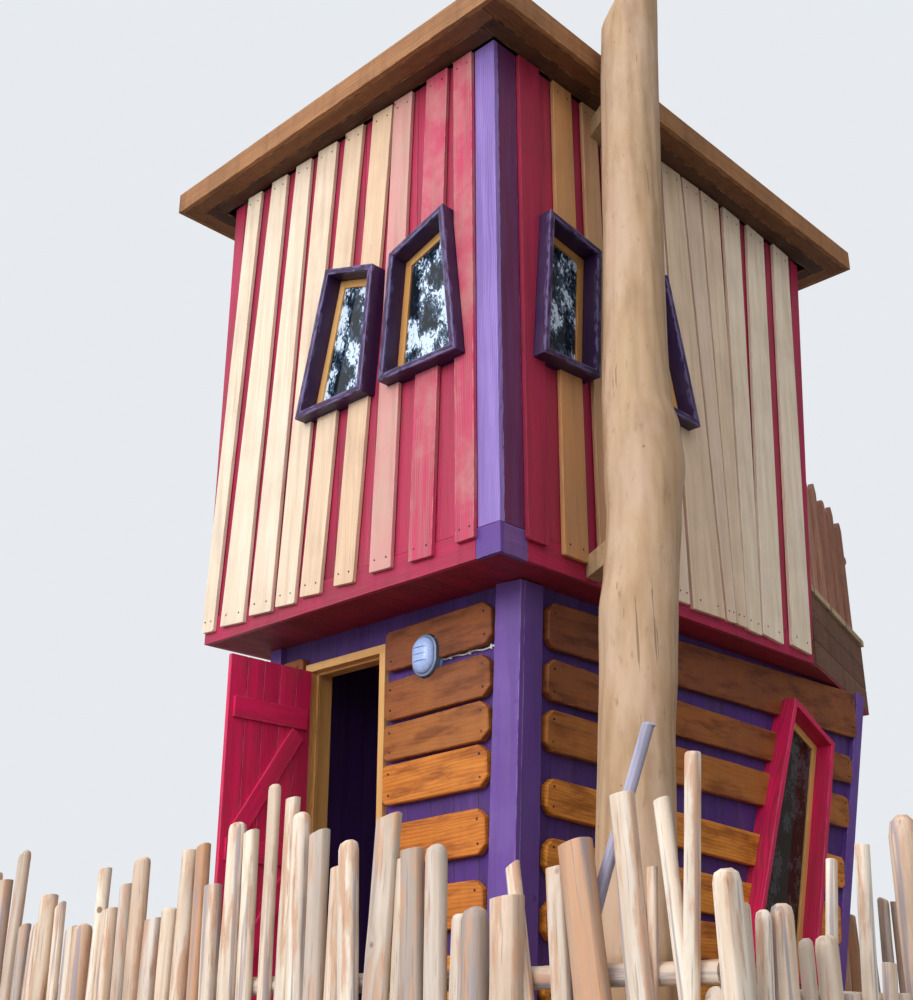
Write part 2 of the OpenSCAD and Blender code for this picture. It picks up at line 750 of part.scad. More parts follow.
module upper_base_trim() {
    color("firebrick") {
        translate([upper_face - trim_t, upper_front - trim_t, upper_z])
            cube([trim_t, upper_depth + 2 * trim_t, base_h]);
        for (y = [upper_front - trim_t, upper_back]) slab_y(y, trim_t)
            polygon([[upper_face, upper_z], [end_x(upper_z), upper_z],
                [end_x(upper_z + base_h), upper_z + base_h], [upper_face, upper_z + base_h]]);
    }
}

// The long walls end on the slant of the end wall
module upper_long_outline() {
    polygon([[upper_face + wall_t, floor_under], [end_x(floor_under), floor_under],
        [end_x(upper_top), upper_top], [upper_face + wall_t, upper_top]]);
}

module upper_front_wall() {
    color("firebrick") difference() {
        slab_y(upper_front, wall_t) upper_long_outline();
        for (q = front_windows) slab_y(upper_front - cut, wall_t + 2 * cut) polygon(q);
    }
}
module upper_back_wall() {
    color("firebrick") slab_y(upper_back - wall_t, wall_t) upper_long_outline();
}
module upper_side_wall() {
    color("firebrick") difference() {
        translate([upper_face, upper_front, floor_under])
            cube([wall_t, upper_depth, upper_top - floor_under]);
        for (q = left_windows) slab_x(upper_face - cut, wall_t + 2 * cut) polygon(q);
    }
}
module upper_end_wall() {
    t = wall_t / cos(atan(upper_end_run));
    color("firebrick") slab_y(upper_front + wall_t, upper_depth - 2 * wall_t)
        polygon([[end_x(floor_top) - t, floor_top], [end_x(floor_top), floor_top],
            [end_x(upper_top), upper_top], [end_x(upper_top) - t, upper_top]]);
}

module upper_corner_boards() {
    low = upper_z + base_h;
    h = upper_top - low;
    color("rebeccapurple") {
        translate([upper_face - trim_t, upper_front - trim_t, low]) cube([trim_t, upper_corner_w, h]);
        translate([upper_face, upper_front - trim_t, low]) cube([upper_corner_w, trim_t, h]);
    }
    color("firebrick") {
        translate([upper_face - trim_t, upper_back + trim_t - end_board_w, low])
            cube([trim_t, end_board_w, h]);
        translate([upper_face, upper_back, low]) cube([upper_corner_w, trim_t, h]);
        for (y = [upper_front - trim_t, upper_back]) slab_y(y, trim_t)
            polygon([[end_x(low) - end_board_w, low], [end_x(low), low],
                [end_x(upper_top), upper_top], [end_x(upper_top) - end_board_w, upper_top]]);
    }
}

// Roof
roof_x0 = upper_face - trim_t - eave_near;
roof_x1 = end_x(upper_top) + eave_far;
roof_y0 = upper_front - trim_t - eave_near;
roof_y1 = upper_back + trim_t + eave_far;
rafter_z = upper_top;
roof_z = rafter_z + rafter_h;

module roof_plan(inwards, z, h) {
    translate([roof_x0 + inwards, roof_y0 + inwards, z])
        cube([roof_x1 - roof_x0 - 2 * inwards, roof_y1 - roof_y0 - 2 * inwards, h]);
}

module roof_eave_boards() {
    color("saddlebrown") difference() {
        roof_plan(fascia_t, upper_top - eave_t, eave_t);
        roof_plan(fascia_t + eave_w, upper_top - eave_t - cut, eave_t + 2 * cut);
    }
}
module roof_rafters() {
    count = 6;
    from = roof_x0 + fascia_t + rafter_w / 2;
    to = roof_x1 - fascia_t - rafter_w / 2;
    color("peru") for (i = [0:count - 1])
        translate([from + i * (to - from) / (count - 1) - rafter_w / 2, roof_y0 + fascia_t, rafter_z])
            cube([rafter_w, roof_y1 - roof_y0 - 2 * fascia_t, rafter_h]);
}
module roof_boards() {
    color("dimgray") roof_plan(fascia_t, roof_z, roof_t);
}
module roof_fascia() {
    color("chocolate") difference() {
        roof_plan(0, upper_top - eave_t, fascia_h);
        roof_plan(fascia_t, upper_top - eave_t - cut, fascia_h + 2 * cut);
    }
}

// Terrace on the lower storey's far end
terrace_y0 = upper_front;
terrace_y1 = back_face;
function terrace_front(x) = terrace_y0 + (x - terrace_x0) * tan(terrace_turn);

module terrace_plan(inwards) {
    polygon([[terrace_x0, terrace_front(terrace_x0) + inwards],
        [terrace_right - inwards, terrace_front(terrace_right) + inwards],
        [terrace_right - inwards, terrace_y1 - inwards], [terrace_x0, terrace_y1 - inwards]]);
}

module terrace_frame() {
    low = floor_under;
    h = terrace_z - terrace_t - low;
    color("saddlebrown") {
        translate([0, 0, low]) linear_extrude(h) difference() {
            terrace_plan(0);
            terrace_plan(terrace_rim_t);
            translate([terrace_x0 - cut, terrace_y0 + terrace_rim_t]) square([2 * cut, reach]);
        }
    }
}

module terrace_floor() {
    color("tan") translate([0, 0, terrace_z - terrace_t]) linear_extrude(terrace_t) terrace_plan(-15);
}

// Pickets stand on the floor's edge, with a rough pole let in behind them
module pickets(length) {
    count = floor(length / picket_pitch);
    union() {
        for (i = [0:count - 1])
            translate([(i + 0.5) * length / count - picket_w / 2, 0, 0])
                cube([picket_w, picket_t, picket_h + picket_step * (i % 2)]);
        translate([15, picket_t + rail_d / 2 - rail_bite, terrace_rail_up]) rotate([0, 90, 0])
            cylinder(h = length - 30, d = rail_d, $fn = 24);
    }
}
module terrace_front_railing() {
    length = (terrace_right - railing_x0) / cos(terrace_turn) - rail_d - 2 * picket_t;
    color("rosybrown") translate([railing_x0, terrace_front(railing_x0) + 5, terrace_z])
        rotate([0, 0, terrace_turn]) pickets(length);
}
module terrace_end_railing() {
    from = terrace_front(terrace_right);
    color("rosybrown") translate([terrace_right - 5, from + 5, terrace_z])
        rotate([0, 0, 90]) pickets(terrace_y1 - from - 10);
}

deck_posts();
deck_beams();
deck_joists();
deck_rim();
deck_floor();
debarked_trunk();
trunk_ties();
palisade_left_near();
palisade_left_far();
palisade_front_near();
palisade_front_far();
palisade_right();
lower_front_wall();
lower_back_wall();
lower_end_wall();
lower_side_wall_near();
lower_side_wall_far();
lower_side_wall_over_door();
lower_corner_boards();
door_frame();
door_pintles();
door_leaf();
door_straps();
tall_window_casing();
lamp_housing();
lamp_glass();
lamp_cable();
upper_soffit();
upper_floor_joists();
upper_floor();
upper_base_trim();
upper_front_wall();
upper_side_wall();
upper_back_wall();
upper_end_wall();
upper_corner_boards();
upper_window_casings();
window_sashes();
window_glass();
roof_rafters();
roof_boards();
roof_fascia();
roof_eave_boards();
terrace_frame();
terrace_floor();
terrace_front_railing();
terrace_end_railing();
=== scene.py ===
import math

import bmesh
import bpy
from mathutils import Matrix, Vector, noise


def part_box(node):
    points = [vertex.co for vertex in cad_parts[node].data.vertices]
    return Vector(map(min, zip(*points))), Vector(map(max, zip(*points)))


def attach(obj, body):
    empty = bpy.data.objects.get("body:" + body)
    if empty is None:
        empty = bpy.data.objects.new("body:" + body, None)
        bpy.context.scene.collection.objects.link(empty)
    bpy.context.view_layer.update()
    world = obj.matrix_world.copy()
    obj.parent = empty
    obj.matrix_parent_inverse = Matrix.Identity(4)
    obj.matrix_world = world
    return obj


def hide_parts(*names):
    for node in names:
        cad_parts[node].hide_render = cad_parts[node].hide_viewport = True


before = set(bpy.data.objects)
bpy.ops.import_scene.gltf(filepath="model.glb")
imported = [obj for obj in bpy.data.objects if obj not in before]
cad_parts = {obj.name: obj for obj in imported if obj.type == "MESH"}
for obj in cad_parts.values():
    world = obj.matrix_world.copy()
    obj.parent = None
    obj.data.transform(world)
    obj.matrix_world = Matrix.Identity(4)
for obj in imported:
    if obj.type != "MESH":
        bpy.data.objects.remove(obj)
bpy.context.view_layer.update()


# Studio: a plain floor under the posts' feet, a pale sky that is brighter on one side, and three broad soft
# lights. The camera stands low beside the near corner and looks up at it.
def stand(name, data):
    """Puts an object into the scene, at the origin."""
    made = bpy.data.objects.new(name, data)
    bpy.context.scene.collection.objects.link(made)
    return made


def new_material(name):
    made = bpy.data.materials.new(name)
    made.use_nodes = True
    return made, made.node_tree, made.node_tree.nodes["Principled BSDF"]


def put(tree, kind, settings=None, **inputs):
    """Adds a node. An input goes by its socket's name, with _ for a space, or by its number: i0, i1 and so on."""
    made = tree.nodes.new(kind)
    for word, value in (settings or {}).items():
        setattr(made, word, value)
    for word, value in inputs.items():
        numbered = word[0] == "i" and word[1:].isdigit()
        socket = made.inputs[int(word[1:]) if numbered else word.replace("_", " ")]
        value = getattr(value, "socket", value)
        if isinstance(value, bpy.types.NodeSocket):
            tree.links.new(value, socket)
        else:
            socket.default_value = value
    return made


pale, tree, shader = new_material("studio_floor")
shader.inputs["Base Color"].default_value = (.30, .30, .28, 1)
shader.inputs["Roughness"].default_value = .9
floor_mesh = bpy.data.meshes.new("studio_floor")
FAR, BELOW = 60, -.002
floor_mesh.from_pydata([(-FAR, -FAR, BELOW), (FAR, -FAR, BELOW), (FAR, FAR, BELOW), (-FAR, FAR, BELOW)], [],
                       [(0, 1, 2, 3)])
floor_mesh.materials.append(pale)
floor = stand("studio_floor", floor_mesh)

sky = bpy.data.worlds.new("pale_sky")
sky.use_nodes = True
tree = sky.node_tree
tree.nodes["Background"].inputs["Color"].default_value = (.93, .96, 1, 1)
toward = put(tree, "ShaderNodeVectorMath", {"operation": "DOT_PRODUCT"}, i1=(-.86, -.10, .50),
             i0=put(tree, "ShaderNodeTexCoord").outputs["Generated"]).outputs["Value"]
clearing = put(tree, "ShaderNodeMapRange", Value=toward, From_Min=-.12, From_Max=.95, To_Min=.22, To_Max=1.75)
level = put(tree, "ShaderNodeMix", i0=put(tree, "ShaderNodeLightPath").outputs["Is Camera Ray"],
            i2=clearing.outputs[0], i3=.86)
tree.links.new(level.outputs[0], tree.nodes["Background"].inputs["Strength"])
bpy.context.scene.world = sky
bpy.context.scene.view_settings.view_transform = "Standard"
for name, spot, aim, width, power in (("key", (-10.5, .2, 7.5), (-.4, .6, 3.6), 5, 560),
                                      ("fill", (-1, -12, 5), (1, 0, 3), 6, 32),
                                      ("back", (7, 8, 9), (1.5, 1, 4), 6, 600)):
    lamp = bpy.data.lights.new(name, "AREA")
    lamp.size, lamp.energy, lamp.color = width, power, (1, .985, .96)
    hung = stand(name, lamp)
    hung.location = spot
    hung.rotation_euler = (Vector(aim) - Vector(spot)).to_track_quat("-Z", "Y").to_euler()

lens = bpy.data.cameras.new("camera")
lens.lens, lens.sensor_width, lens.clip_end = 46.764, 36, 200
camera = stand("camera", lens)
camera.location = (-4.586, -4.012, 1.6)
camera.rotation_euler = (math.radians(111.97), 0, math.radians(-45.9))
bpy.context.scene.camera = camera


# Sawn timber: the finish under every stain and glaze of the house. Growth rings and fibres run along
# each board, knots sit where branches grew, edges are worn pale and rain has left blotches and streaks.
# On the deep window casings the pale edge band spreads over the front faces as a painted highlight.
class Formula:
    """A node's value that takes + - * and /, so that a finish or a shape reads as a formula."""

    def __init__(self, socket):
        self.socket, self.tree = socket, socket.id_data

    def __add__(self, other): return calc("ADD", self, other)
    def __radd__(self, other): return calc("ADD", other, self)
    def __sub__(self, other): return calc("SUBTRACT", self, other)
    def __rsub__(self, other): return calc("SUBTRACT", other, self)
    def __mul__(self, other): return calc("MULTIPLY", self, other)
    def __rmul__(self, other): return calc("MULTIPLY", other, self)
    def __truediv__(self, other): return calc("DIVIDE", self, other)
    def __rtruediv__(self, other): return calc("DIVIDE", other, self)


def tree_of(*values):
    return next(v.tree for v in values if isinstance(v, Formula))


def calc(operation, a, b=0.0, c=0.0, clamp=False):
    return Formula(put(tree_of(a, b, c), "ShaderNodeMath", {"operation": operation, "use_clamp": clamp},
                       i0=a, i1=b, i2=c).outputs[0])


def vector_calc(operation, a, b):
    return Formula(put(tree_of(a, b), "ShaderNodeVectorMath", {"operation": operation}, i0=a, i1=b).outputs[0])


def vector(x, y, z):
    return Formula(put(tree_of(x, y, z), "ShaderNodeCombineXYZ", X=x, Y=y, Z=z).outputs[0])


def xyz(value):
    return [Formula(s) for s in put(value.tree, "ShaderNodeSeparateXYZ", Vector=value).outputs]


def stretched(value, x, y, z):
    return vector_calc("MULTIPLY", value, (x, y, z))


def noise_over(place, detail, rough=.5, scale=1.0, distortion=0.0):
    return Formula(put(place.tree, "ShaderNodeTexNoise", Vector=place, Scale=scale, Detail=detail, Roughness=rough,
                       Distortion=distortion).outputs[0])


def ramp(value, low, high, to_low=0.0, to_high=1.0):
    return Formula(put(value.tree, "ShaderNodeMapRange", {"interpolation_type": "SMOOTHSTEP"},
                       i0=value, i1=low, i2=high, i3=to_low, i4=to_high).outputs[0])


def blend(share, a, b, way="MIX"):
    a, b = ((*c, 1) if isinstance(c, tuple) else c for c in (a, b))
    return Formula(put(tree_of(share, a, b), "ShaderNodeMix", {"data_type": "RGBA", "blend_type": way},
                       i0=share, i6=a, i7=b).outputs[2])


def shade(colour, share):
    return tuple(c * share for c in colour)


def object_place(tree):
    return Formula(put(tree, "ShaderNodeTexCoord").outputs["Object"])


def attribute(tree, word):
    return Formula(put(tree, "ShaderNodeAttribute", {"attribute_name": word}).outputs["Vector"])


def lead(value, socket):
    socket.id_data.links.new(getattr(value, "socket", value), socket)


def fed(socket):
    """The value that a socket has so far."""
    return Formula(socket.links[0].from_socket)


def bumped(shader, height, strength, depth):
    lead(put(shader.id_data, "ShaderNodeBump", Strength=strength, Distance=depth, Height=height).outputs[0],
         shader.inputs["Normal"])


def shader_group(name, ins, outs):
    tree = bpy.data.node_groups.new(name, "ShaderNodeTree")
    for word, kind, value in ins:
        made = tree.interface.new_socket(word, in_out="INPUT", socket_type="NodeSocket" + kind)
        if value is not None:
            made.default_value = value
    for word in outs:
        tree.interface.new_socket(word, in_out="OUTPUT", socket_type="NodeSocketFloat")
    given = {s.name: Formula(s) for s in tree.nodes.new("NodeGroupInput").outputs if s.name}
    return given, tree.nodes.new("NodeGroupOutput").inputs, tree


def group(tree, made_of, **inputs):
    return {s.name: Formula(s) for s in put(tree, "ShaderNodeGroup", {"node_tree": made_of}, **inputs).outputs}


given, out, timber = shader_group("timber", [
    ("Place", "Vector", None), ("Ring width", "Float", .011), ("Knots", "Float", .25)],
    ["Grain", "Fibre", "Knot", "Relief"])
place = given["Place"]
cell = put(timber, "ShaderNodeTexVoronoi", Vector=place, Scale=4.4).outputs
cell_red = Formula(put(timber, "ShaderNodeSeparateColor", Color=cell["Color"]).outputs[0])
chosen = calc("GREATER_THAN", cell_red, 1.0 - given["Knots"])
knot, halo = (ramp(Formula(cell["Distance"]), far, close) * chosen for far, close in ((.075, .04), (.34, .05)))
along, wide, deep = xyz(place)
across = noise_over(stretched(place, .7, 4, 4), 2.0) * .16 + wide + (halo * .03 + deep * .6)
ring = calc("POWER", calc("SINE", across / given["Ring width"] * 6.2832) * .5 + .5, 2.2)
fibre = noise_over(stretched(place, 9, 260, 260), 3.0)
grain = ring * .5 + ramp(noise_over(stretched(place, 1.6, 26, 26), 5.0), .3, .7) * .5
for word, value in (("Grain", grain), ("Fibre", ramp(fibre, .3, .7)), ("Knot", knot),
                    ("Relief", fibre * .8 + grain * .5 - knot)):
    lead(value, out[word])

given, out, weather = shader_group("weathering", [("Place", "Vector", None)], ["Blotch", "Streak"])
lead(ramp(noise_over(given["Place"], 6.0, .62, 2.3), .42, .68), out["Blotch"])
lead(ramp(noise_over(stretched(given["Place"], 17, 17, 1.1), 4.0), .45, .72), out["Streak"])

# Span is a board's own measure, from -0.5 to 0.5 along, across and through it.
given, out, edges = shader_group("worn_and_sheen_edges", [
    ("Span", "Vector", None), ("Place", "Vector", None), ("Width", "Float", .15), ("Thick", "Float", .03),
    ("Reach", "Float", .006)], ["Edge"])
along, across, through = xyz(given["Span"])
from_edge = calc("MAXIMUM", (.5 - calc("ABSOLUTE", across)) * given["Width"],
                 (.5 - calc("ABSOLUTE", through)) * given["Thick"])
ragged = ramp(noise_over(stretched(given["Place"], 14, 50, 50), 4.0), .35, .75, 0, 2.2)
lead(ramp(from_edge, given["Reach"] * ragged, 0.0), out["Edge"])


def stained(name, light, dark, knot_tint, glaze=None, hold=0.0, gloss=.55, rings=.011, knots=.25, wear_and_sheen=.35, boards=None,
            grime=(.10, .07, .05), dirt=.35, pale_edge=None, second=None, thick=.03, reach=.006):
    """Timber, with an optional glaze that takes each board as its stain attribute says, and a second one for a
    stain above 1. boards is for a CAD node that has no boards of its own: (board width, upright) draws them."""
    made, tree, shader = new_material(name)
    spot, gap = object_place(tree), None
    if boards:
        width, upright = boards
        x, y, z = xyz(spot)
        side, along, through = (x + y, z, x - y) if upright else (y, x, z)
        row = side / width
        told = put(tree, "ShaderNodeTexWhiteNoise", {"noise_dimensions": "1D"}, W=calc("FLOOR", row))
        tone = Formula(told.outputs["Value"])
        place, middle = vector(tone * 37.0 + along, side, through), calc("FRACT", row) - .5
        span, stain, wide = vector(0.0, middle, .5), 1.0, width
        gap = ramp(calc("ABSOLUTE", middle), .5 - .004 / width, .5 - .001 / width)
    else:
        place, span, look = (attribute(tree, word) for word in ("grain", "span", "look"))
        tone, stain, wide = xyz(look)
    wood = group(tree, timber, Place=place, Ring_width=rings, Knots=knots)
    rain = group(tree, weather, Place=spot)
    edge = group(tree, edges, Span=span, Place=place, Width=wide, Thick=thick, Reach=reach)["Edge"]
    grain = wood["Grain"]
    colour = blend(grain, light, dark)
    colour = blend(wood["Fibre"] * .22, colour, dark)
    colour = blend(ramp(tone, 0, 1, 0, .45), colour, dark, "MULTIPLY")
    colour = blend(wood["Knot"] * .85, colour, knot_tint)
    if glaze:
        first = stain * calc("LESS_THAN", stain, 1.0001) if second else stain
        cover = calc("MULTIPLY", first * hold, grain * -.35 + 1.12, clamp=True)
        cover = cover * (edge * -wear_and_sheen + 1.0) * (rain["Blotch"] * -.25 + 1.0)
        deep = blend(ramp(tone, 0, 1, 0, .5), blend(grain, glaze, shade(glaze, .55)), shade(glaze, .6))
        colour = blend(cover, colour, deep)
    if second:
        cover = calc("SUBTRACT", stain, 1.0, clamp=True) * (grain * -.3 + 1.0) * (edge * -wear_and_sheen + 1.0)
        colour = blend(cover, colour, blend(grain, second, shade(second, .6)))
    # Pale edges are worn arrises; where the reach is wide, as on the window casings, the pale band is also a painted
    # highlight.
    if pale_edge:
        colour = blend(edge * .8, colour, pale_edge)
    colour = blend(rain["Streak"] * (dirt * .6), colour, grime, "MULTIPLY")
    colour = blend(rain["Blotch"] * (dirt * .5), colour, grime, "MULTIPLY")
    if gap:
        colour = blend(gap, colour, shade(grime, .15))
    lead(colour, shader.inputs["Base Color"])
    shader.inputs["Specular IOR Level"].default_value = .3
    lead(wood["Fibre"] * .22 + gloss, shader.inputs["Roughness"])
    bumped(shader, gap * -4.0 + wood["Relief"] if gap else wood["Relief"], .55, .0022)
    return made


# Boards: sawn planks with slightly wavy edges and clipped ends, screwed on from outside. Each point of a
# small mesh is one board with its own size, turn, clipped ends, taper, tone and stain.
def geometry_tree(name, sizes):
    tree = bpy.data.node_groups.new(name, "GeometryNodeTree")
    tree.interface.new_socket("Geometry", in_out="INPUT", socket_type="NodeSocketGeometry")
    for word, value in sizes:
        tree.interface.new_socket(word, in_out="INPUT", socket_type="NodeSocketFloat").default_value = value
    tree.interface.new_socket("Material", in_out="INPUT", socket_type="NodeSocketMaterial")
    tree.interface.new_socket("Geometry", in_out="OUTPUT", socket_type="NodeSocketGeometry")
    return {s.name: Formula(s) for s in tree.nodes.new("NodeGroupInput").outputs if s.name}, tree


def named(tree, word):
    read = put(tree, "GeometryNodeInputNamedAttribute", {"data_type": "FLOAT_VECTOR"}, Name=word)
    return Formula(read.outputs["Attribute"])


def keep(geometry, word, value, domain="CORNER"):
    return put(value.tree, "GeometryNodeStoreNamedAttribute", {"data_type": "FLOAT_VECTOR", "domain": domain},
               Geometry=geometry, Name=word, Value=value).outputs[0]


def either(test, a, b):
    return Formula(put(test.tree, "GeometryNodeSwitch", {"input_type": "FLOAT"}, Switch=test, i1=a, i2=b).outputs[0])


def realized(tree, geometry):
    return put(tree, "GeometryNodeRealizeInstances", Geometry=geometry).outputs[0]


def surfaced(tree, geometry, material):
    """Ends a tree: the material is set on the geometry and it goes out."""
    done = put(tree, "GeometryNodeSetMaterial", Geometry=geometry, Material=material).outputs[0]
    lead(done, tree.nodes.new("NodeGroupOutput").inputs["Geometry"])


def grow(tree, shape, given, bend, is_round=False):
    """Sets one shape on every point, lets bend(unit, size, ends, seed) move it, turns it and keeps its grain."""
    here = Formula(put(tree, "GeometryNodeInputPosition").outputs[0])
    shape = keep(shape, "unit", here, "POINT")
    there = put(tree, "GeometryNodeInstanceOnPoints", Points=given["Geometry"], Instance=shape).outputs[0]
    unit, size, look, ends = (named(tree, word) for word in ("unit", "size", "look_at", "ends"))
    tone = xyz(look)[0]
    seed = vector(tone * 71.3, tone * 37.9, tone * 53.7)
    local = bend(xyz(unit), xyz(size), xyz(ends), seed)
    turn = put(tree, "FunctionNodeEulerToRotation", Euler=named(tree, "turn")).outputs[0]
    turned = put(tree, "FunctionNodeRotateVector", Vector=local, Rotation=turn).outputs[0]
    moved = put(tree, "GeometryNodeSetPosition", Geometry=realized(tree, there),
                Position=vector_calc("ADD", vector_calc("SUBTRACT", here, unit), turned)).outputs[0]
    span = vector(xyz(unit)[2], 0.0, 0.0) if is_round else unit
    for word, value in (("grain", vector_calc("ADD", local, seed)), ("span", span), ("look", look)):
        moved = keep(moved, word, value)
    surfaced(tree, realized(tree, moved), given["Material"])


b_in, boards = geometry_tree("boards", [("Wobble", .003), ("Wave", 2.5)])
RINGS = 10


def bend_board(unit, size, ends, seed):
    along, across, through = unit
    half, inner = size[0] * .5, .5 - 1 / (RINGS - 1)
    ring = Formula(put(boards, "ShaderNodeMapRange", {"clamp": False}, i0=along, i1=-inner, i2=inner,
                       i3=ends[0] - half, i4=half - ends[1]).outputs[0])
    at_end = calc("GREATER_THAN", calc("ABSOLUTE", along), .49)
    x = either(at_end, ring, along * size[0])
    ear = either(calc("GREATER_THAN", along, 0.0), ends[0], ends[1]) * at_end
    width = size[1] * (along * ends[2] + 1.0) - ear * 1.7
    wavy = noise_over(vector_calc("ADD", vector(x * b_in["Wave"], across * 5.0, 0.0), seed), 2.0) - .5
    return vector(x, across * width + wavy * (b_in["Wobble"] * 2.0), through * size[2])


grow(boards, put(boards, "GeometryNodeMeshCube", i0=(1, 1, 1), i1=RINGS, i2=2, i3=2).outputs[0], b_in, bend_board)


def settle(piece, slot, *nodes, body="tower"):
    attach(piece, body)
    if nodes:
        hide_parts(*nodes)
    return piece


def plain_mesh(piece):
    """The mesh that a piece's modifiers make of it."""
    bpy.context.view_layer.update()
    return bpy.data.meshes.new_from_object(piece.evaluated_get(bpy.context.evaluated_depsgraph_get()))


def boards_of(shape):
    """The separate boards of a mesh, each as the numbers of its points."""
    shape.verts.ensure_lookup_table()
    seen, found = set(), []
    for first in shape.verts:
        if first.index in seen:
            continue
        board, todo = {first.index}, [first]
        while todo:
            vert = todo.pop()
            for other in (e.other_vert(vert) for e in vert.link_edges):
                if other.index not in board:
                    board.add(other.index)
                    todo.append(other)
        seen |= board
        found.append(board)
    return found


def saw_round(mesh, block):
    """Saws an opening out of the boards that meet it, one board after the other. block is the opening's solid."""
    low, high = ([pick(v.co[k] for v in block.data.vertices) for k in range(3)] for pick in (min, max))
    whole = bmesh.new()
    whole.from_mesh(mesh)
    sawn_off, sawn = set(), []
    for board in boards_of(whole):
        spots = [whole.verts[i].co for i in board]
        if any(max(p[k] for p in spots) < low[k] or min(p[k] for p in spots) > high[k] for k in range(3)):
            continue
        single = whole.copy()
        bmesh.ops.delete(single, geom=[v for v in single.verts if v.index not in board], context="VERTS")
        bench = stand("sawn_board", bpy.data.meshes.new("sawn_board"))
        single.to_mesh(bench.data)
        saw = bench.modifiers.new("saw", "BOOLEAN")
        saw.object, saw.solver = block, "EXACT"
        sawn.append(plain_mesh(bench))
        bpy.data.objects.remove(bench)
        sawn_off |= board
    bmesh.ops.delete(whole, geom=[v for v in whole.verts if v.index in sawn_off], context="VERTS")
    for part in sawn:
        whole.from_mesh(part)
    whole.to_mesh(mesh)
    mesh.update()


def mark(mesh, word, vectors):
    mesh.attributes.new(word, "FLOAT_VECTOR", "POINT").data.foreach_set("vector", [c for v in vectors for c in v])


def drive(piece, tree, values):
    """Gives a piece the tree as a modifier, and the modifier its inputs, each by its socket's identifier."""
    made = piece.modifiers.new("grows", "NODES")
    made.node_group = tree
    for item in tree.interface.items_tree:
        if item.in_out == "INPUT" and item.name in values:
            made[item.identifier] = values[item.name]


def rounded(piece, width, segments):
    soft = piece.modifiers.new("rounding", "BEVEL")
    soft.width, soft.segments, soft.limit_method, soft.angle_limit = width, segments, "ANGLE", math.radians(40)


def smoothed(mesh, degrees):
    mesh.shade_smooth()
    mesh.set_sharp_from_angle(angle=math.radians(degrees))


def grown(name, rows, tree, material, sizes, rounding=.003, cuts=(), smooth=None):
    """rows: (place, size, turn, ends, (tone, stain)) of each board or pole. cuts are openings sawn out of them."""
    mesh = bpy.data.meshes.new(name)
    mesh.from_pydata([row[0] for row in rows], [], [])
    for column, word in ((1, "size"), (2, "turn"), (3, "ends")):
        mark(mesh, word, [row[column] for row in rows])
    mark(mesh, "look_at", [(*row[4], row[1][1]) for row in rows])
    piece = stand(name, mesh)
    drive(piece, tree, {**sizes, "Material": material})
    if rounding:
        rounded(piece, rounding, 1)
    plain = plain_mesh(piece)
    plain.name = name
    piece.modifiers.clear()
    piece.data = plain
    for block in cuts:
        saw_round(plain, block)
    if smooth:
        smoothed(plain, smooth)
    return piece


def chance(i, seed):
    v = math.sin(math.radians(i * 97.3 + seed * 41.7)) * 1357.9
    return v - math.floor(v)


LEFT, RIGHT, FRONT, BACK, UP = (-1, 0, 0), (1, 0, 0), (0, -1, 0), (0, 1, 0), (0, 0, 1)


def plank(a, b, face, width, thick, ends=(0, 0, 0), look=(.5, 0)):
    """One board from a to b on the wall behind it, which faces the way of face."""
    a, b, face = Vector(a), Vector(b), Vector(face)
    x = (b - a).normalized()
    z = (face - x * face.dot(x)).normalized()
    turn = Matrix((x, z.cross(x), z)).transposed().to_euler()
    ends = (max(ends[0], .002), max(ends[1], .002), ends[2])
    return (a + b) / 2 + z * thick / 2, ((b - a).length, width, thick), turn, ends, look


# Screws: small blackened heads near both ends of every board, two across a wide board and one on a narrow
# one. Each point carries the turn of its board. The same iron is on the door's hinges.
iron, tree, shader = new_material("forged_iron")
spot = object_place(tree)
rust = ramp(noise_over(spot, 5.0, .5, 22.0), .5, .68)
lead(blend(rust, (.035, .034, .036), (.20, .075, .03)), shader.inputs["Base Color"])
lead(rust * .3 + .42, shader.inputs["Roughness"])
lead(.85 - rust * .8, shader.inputs["Metallic"])
bumped(shader, noise_over(spot, 4.0, .5, 90.0), .4, .001)
given, heads = geometry_tree("screw_heads", [("Radius", .0055), ("Height", .004)])
head = put(heads, "GeometryNodeMeshCylinder", i0=10, i1=1, i2=1, i3=given["Radius"], i4=given["Height"]).outputs[0]
turned = put(heads, "FunctionNodeEulerToRotation", Euler=named(heads, "turn")).outputs[0]
many = put(heads, "GeometryNodeInstanceOnPoints", Points=given["Geometry"], Instance=head, Rotation=turned).outputs[0]
surfaced(heads, realized(heads, many), given["Material"])


def screwed(name, rows, from_end=.05, between=(), radius=.0055):
    """Screw heads at both ends of each board in rows, and at the shares of its length in between."""
    spots = []
    for place, size, turn, ends, look in rows:
        for x in [from_end - size[0] / 2, size[0] / 2 - from_end] + [(share - .5) * size[0] for share in between]:
            for y in (-.27, .27) if size[1] > .085 else (0,):
                there = Vector((x, y * size[1] * (1 + ends[2] * x / size[0]), size[2] / 2 + .0002))
                spots.append((Vector(place) + turn.to_matrix() @ there, turn))
    mesh = bpy.data.meshes.new(name)
    mesh.from_pydata([p for p, turn in spots], [], [])
    mark(mesh, "turn", [turn for p, turn in spots])
    piece = stand(name, mesh)
    drive(piece, heads, {"Radius": radius, "Material": iron})
    piece.data = plain_mesh(piece)
    piece.modifiers.clear()
    return settle(piece, "hinge_iron")


# Deck: debarked log posts carry three beams, the beams carry joists, and a rim board closes the joists'
# ends. All of it is rough, grey-brown softwood, nailed together.
p_in, poles = geometry_tree("poles", [("Rough", .12), ("Taper", .06)])


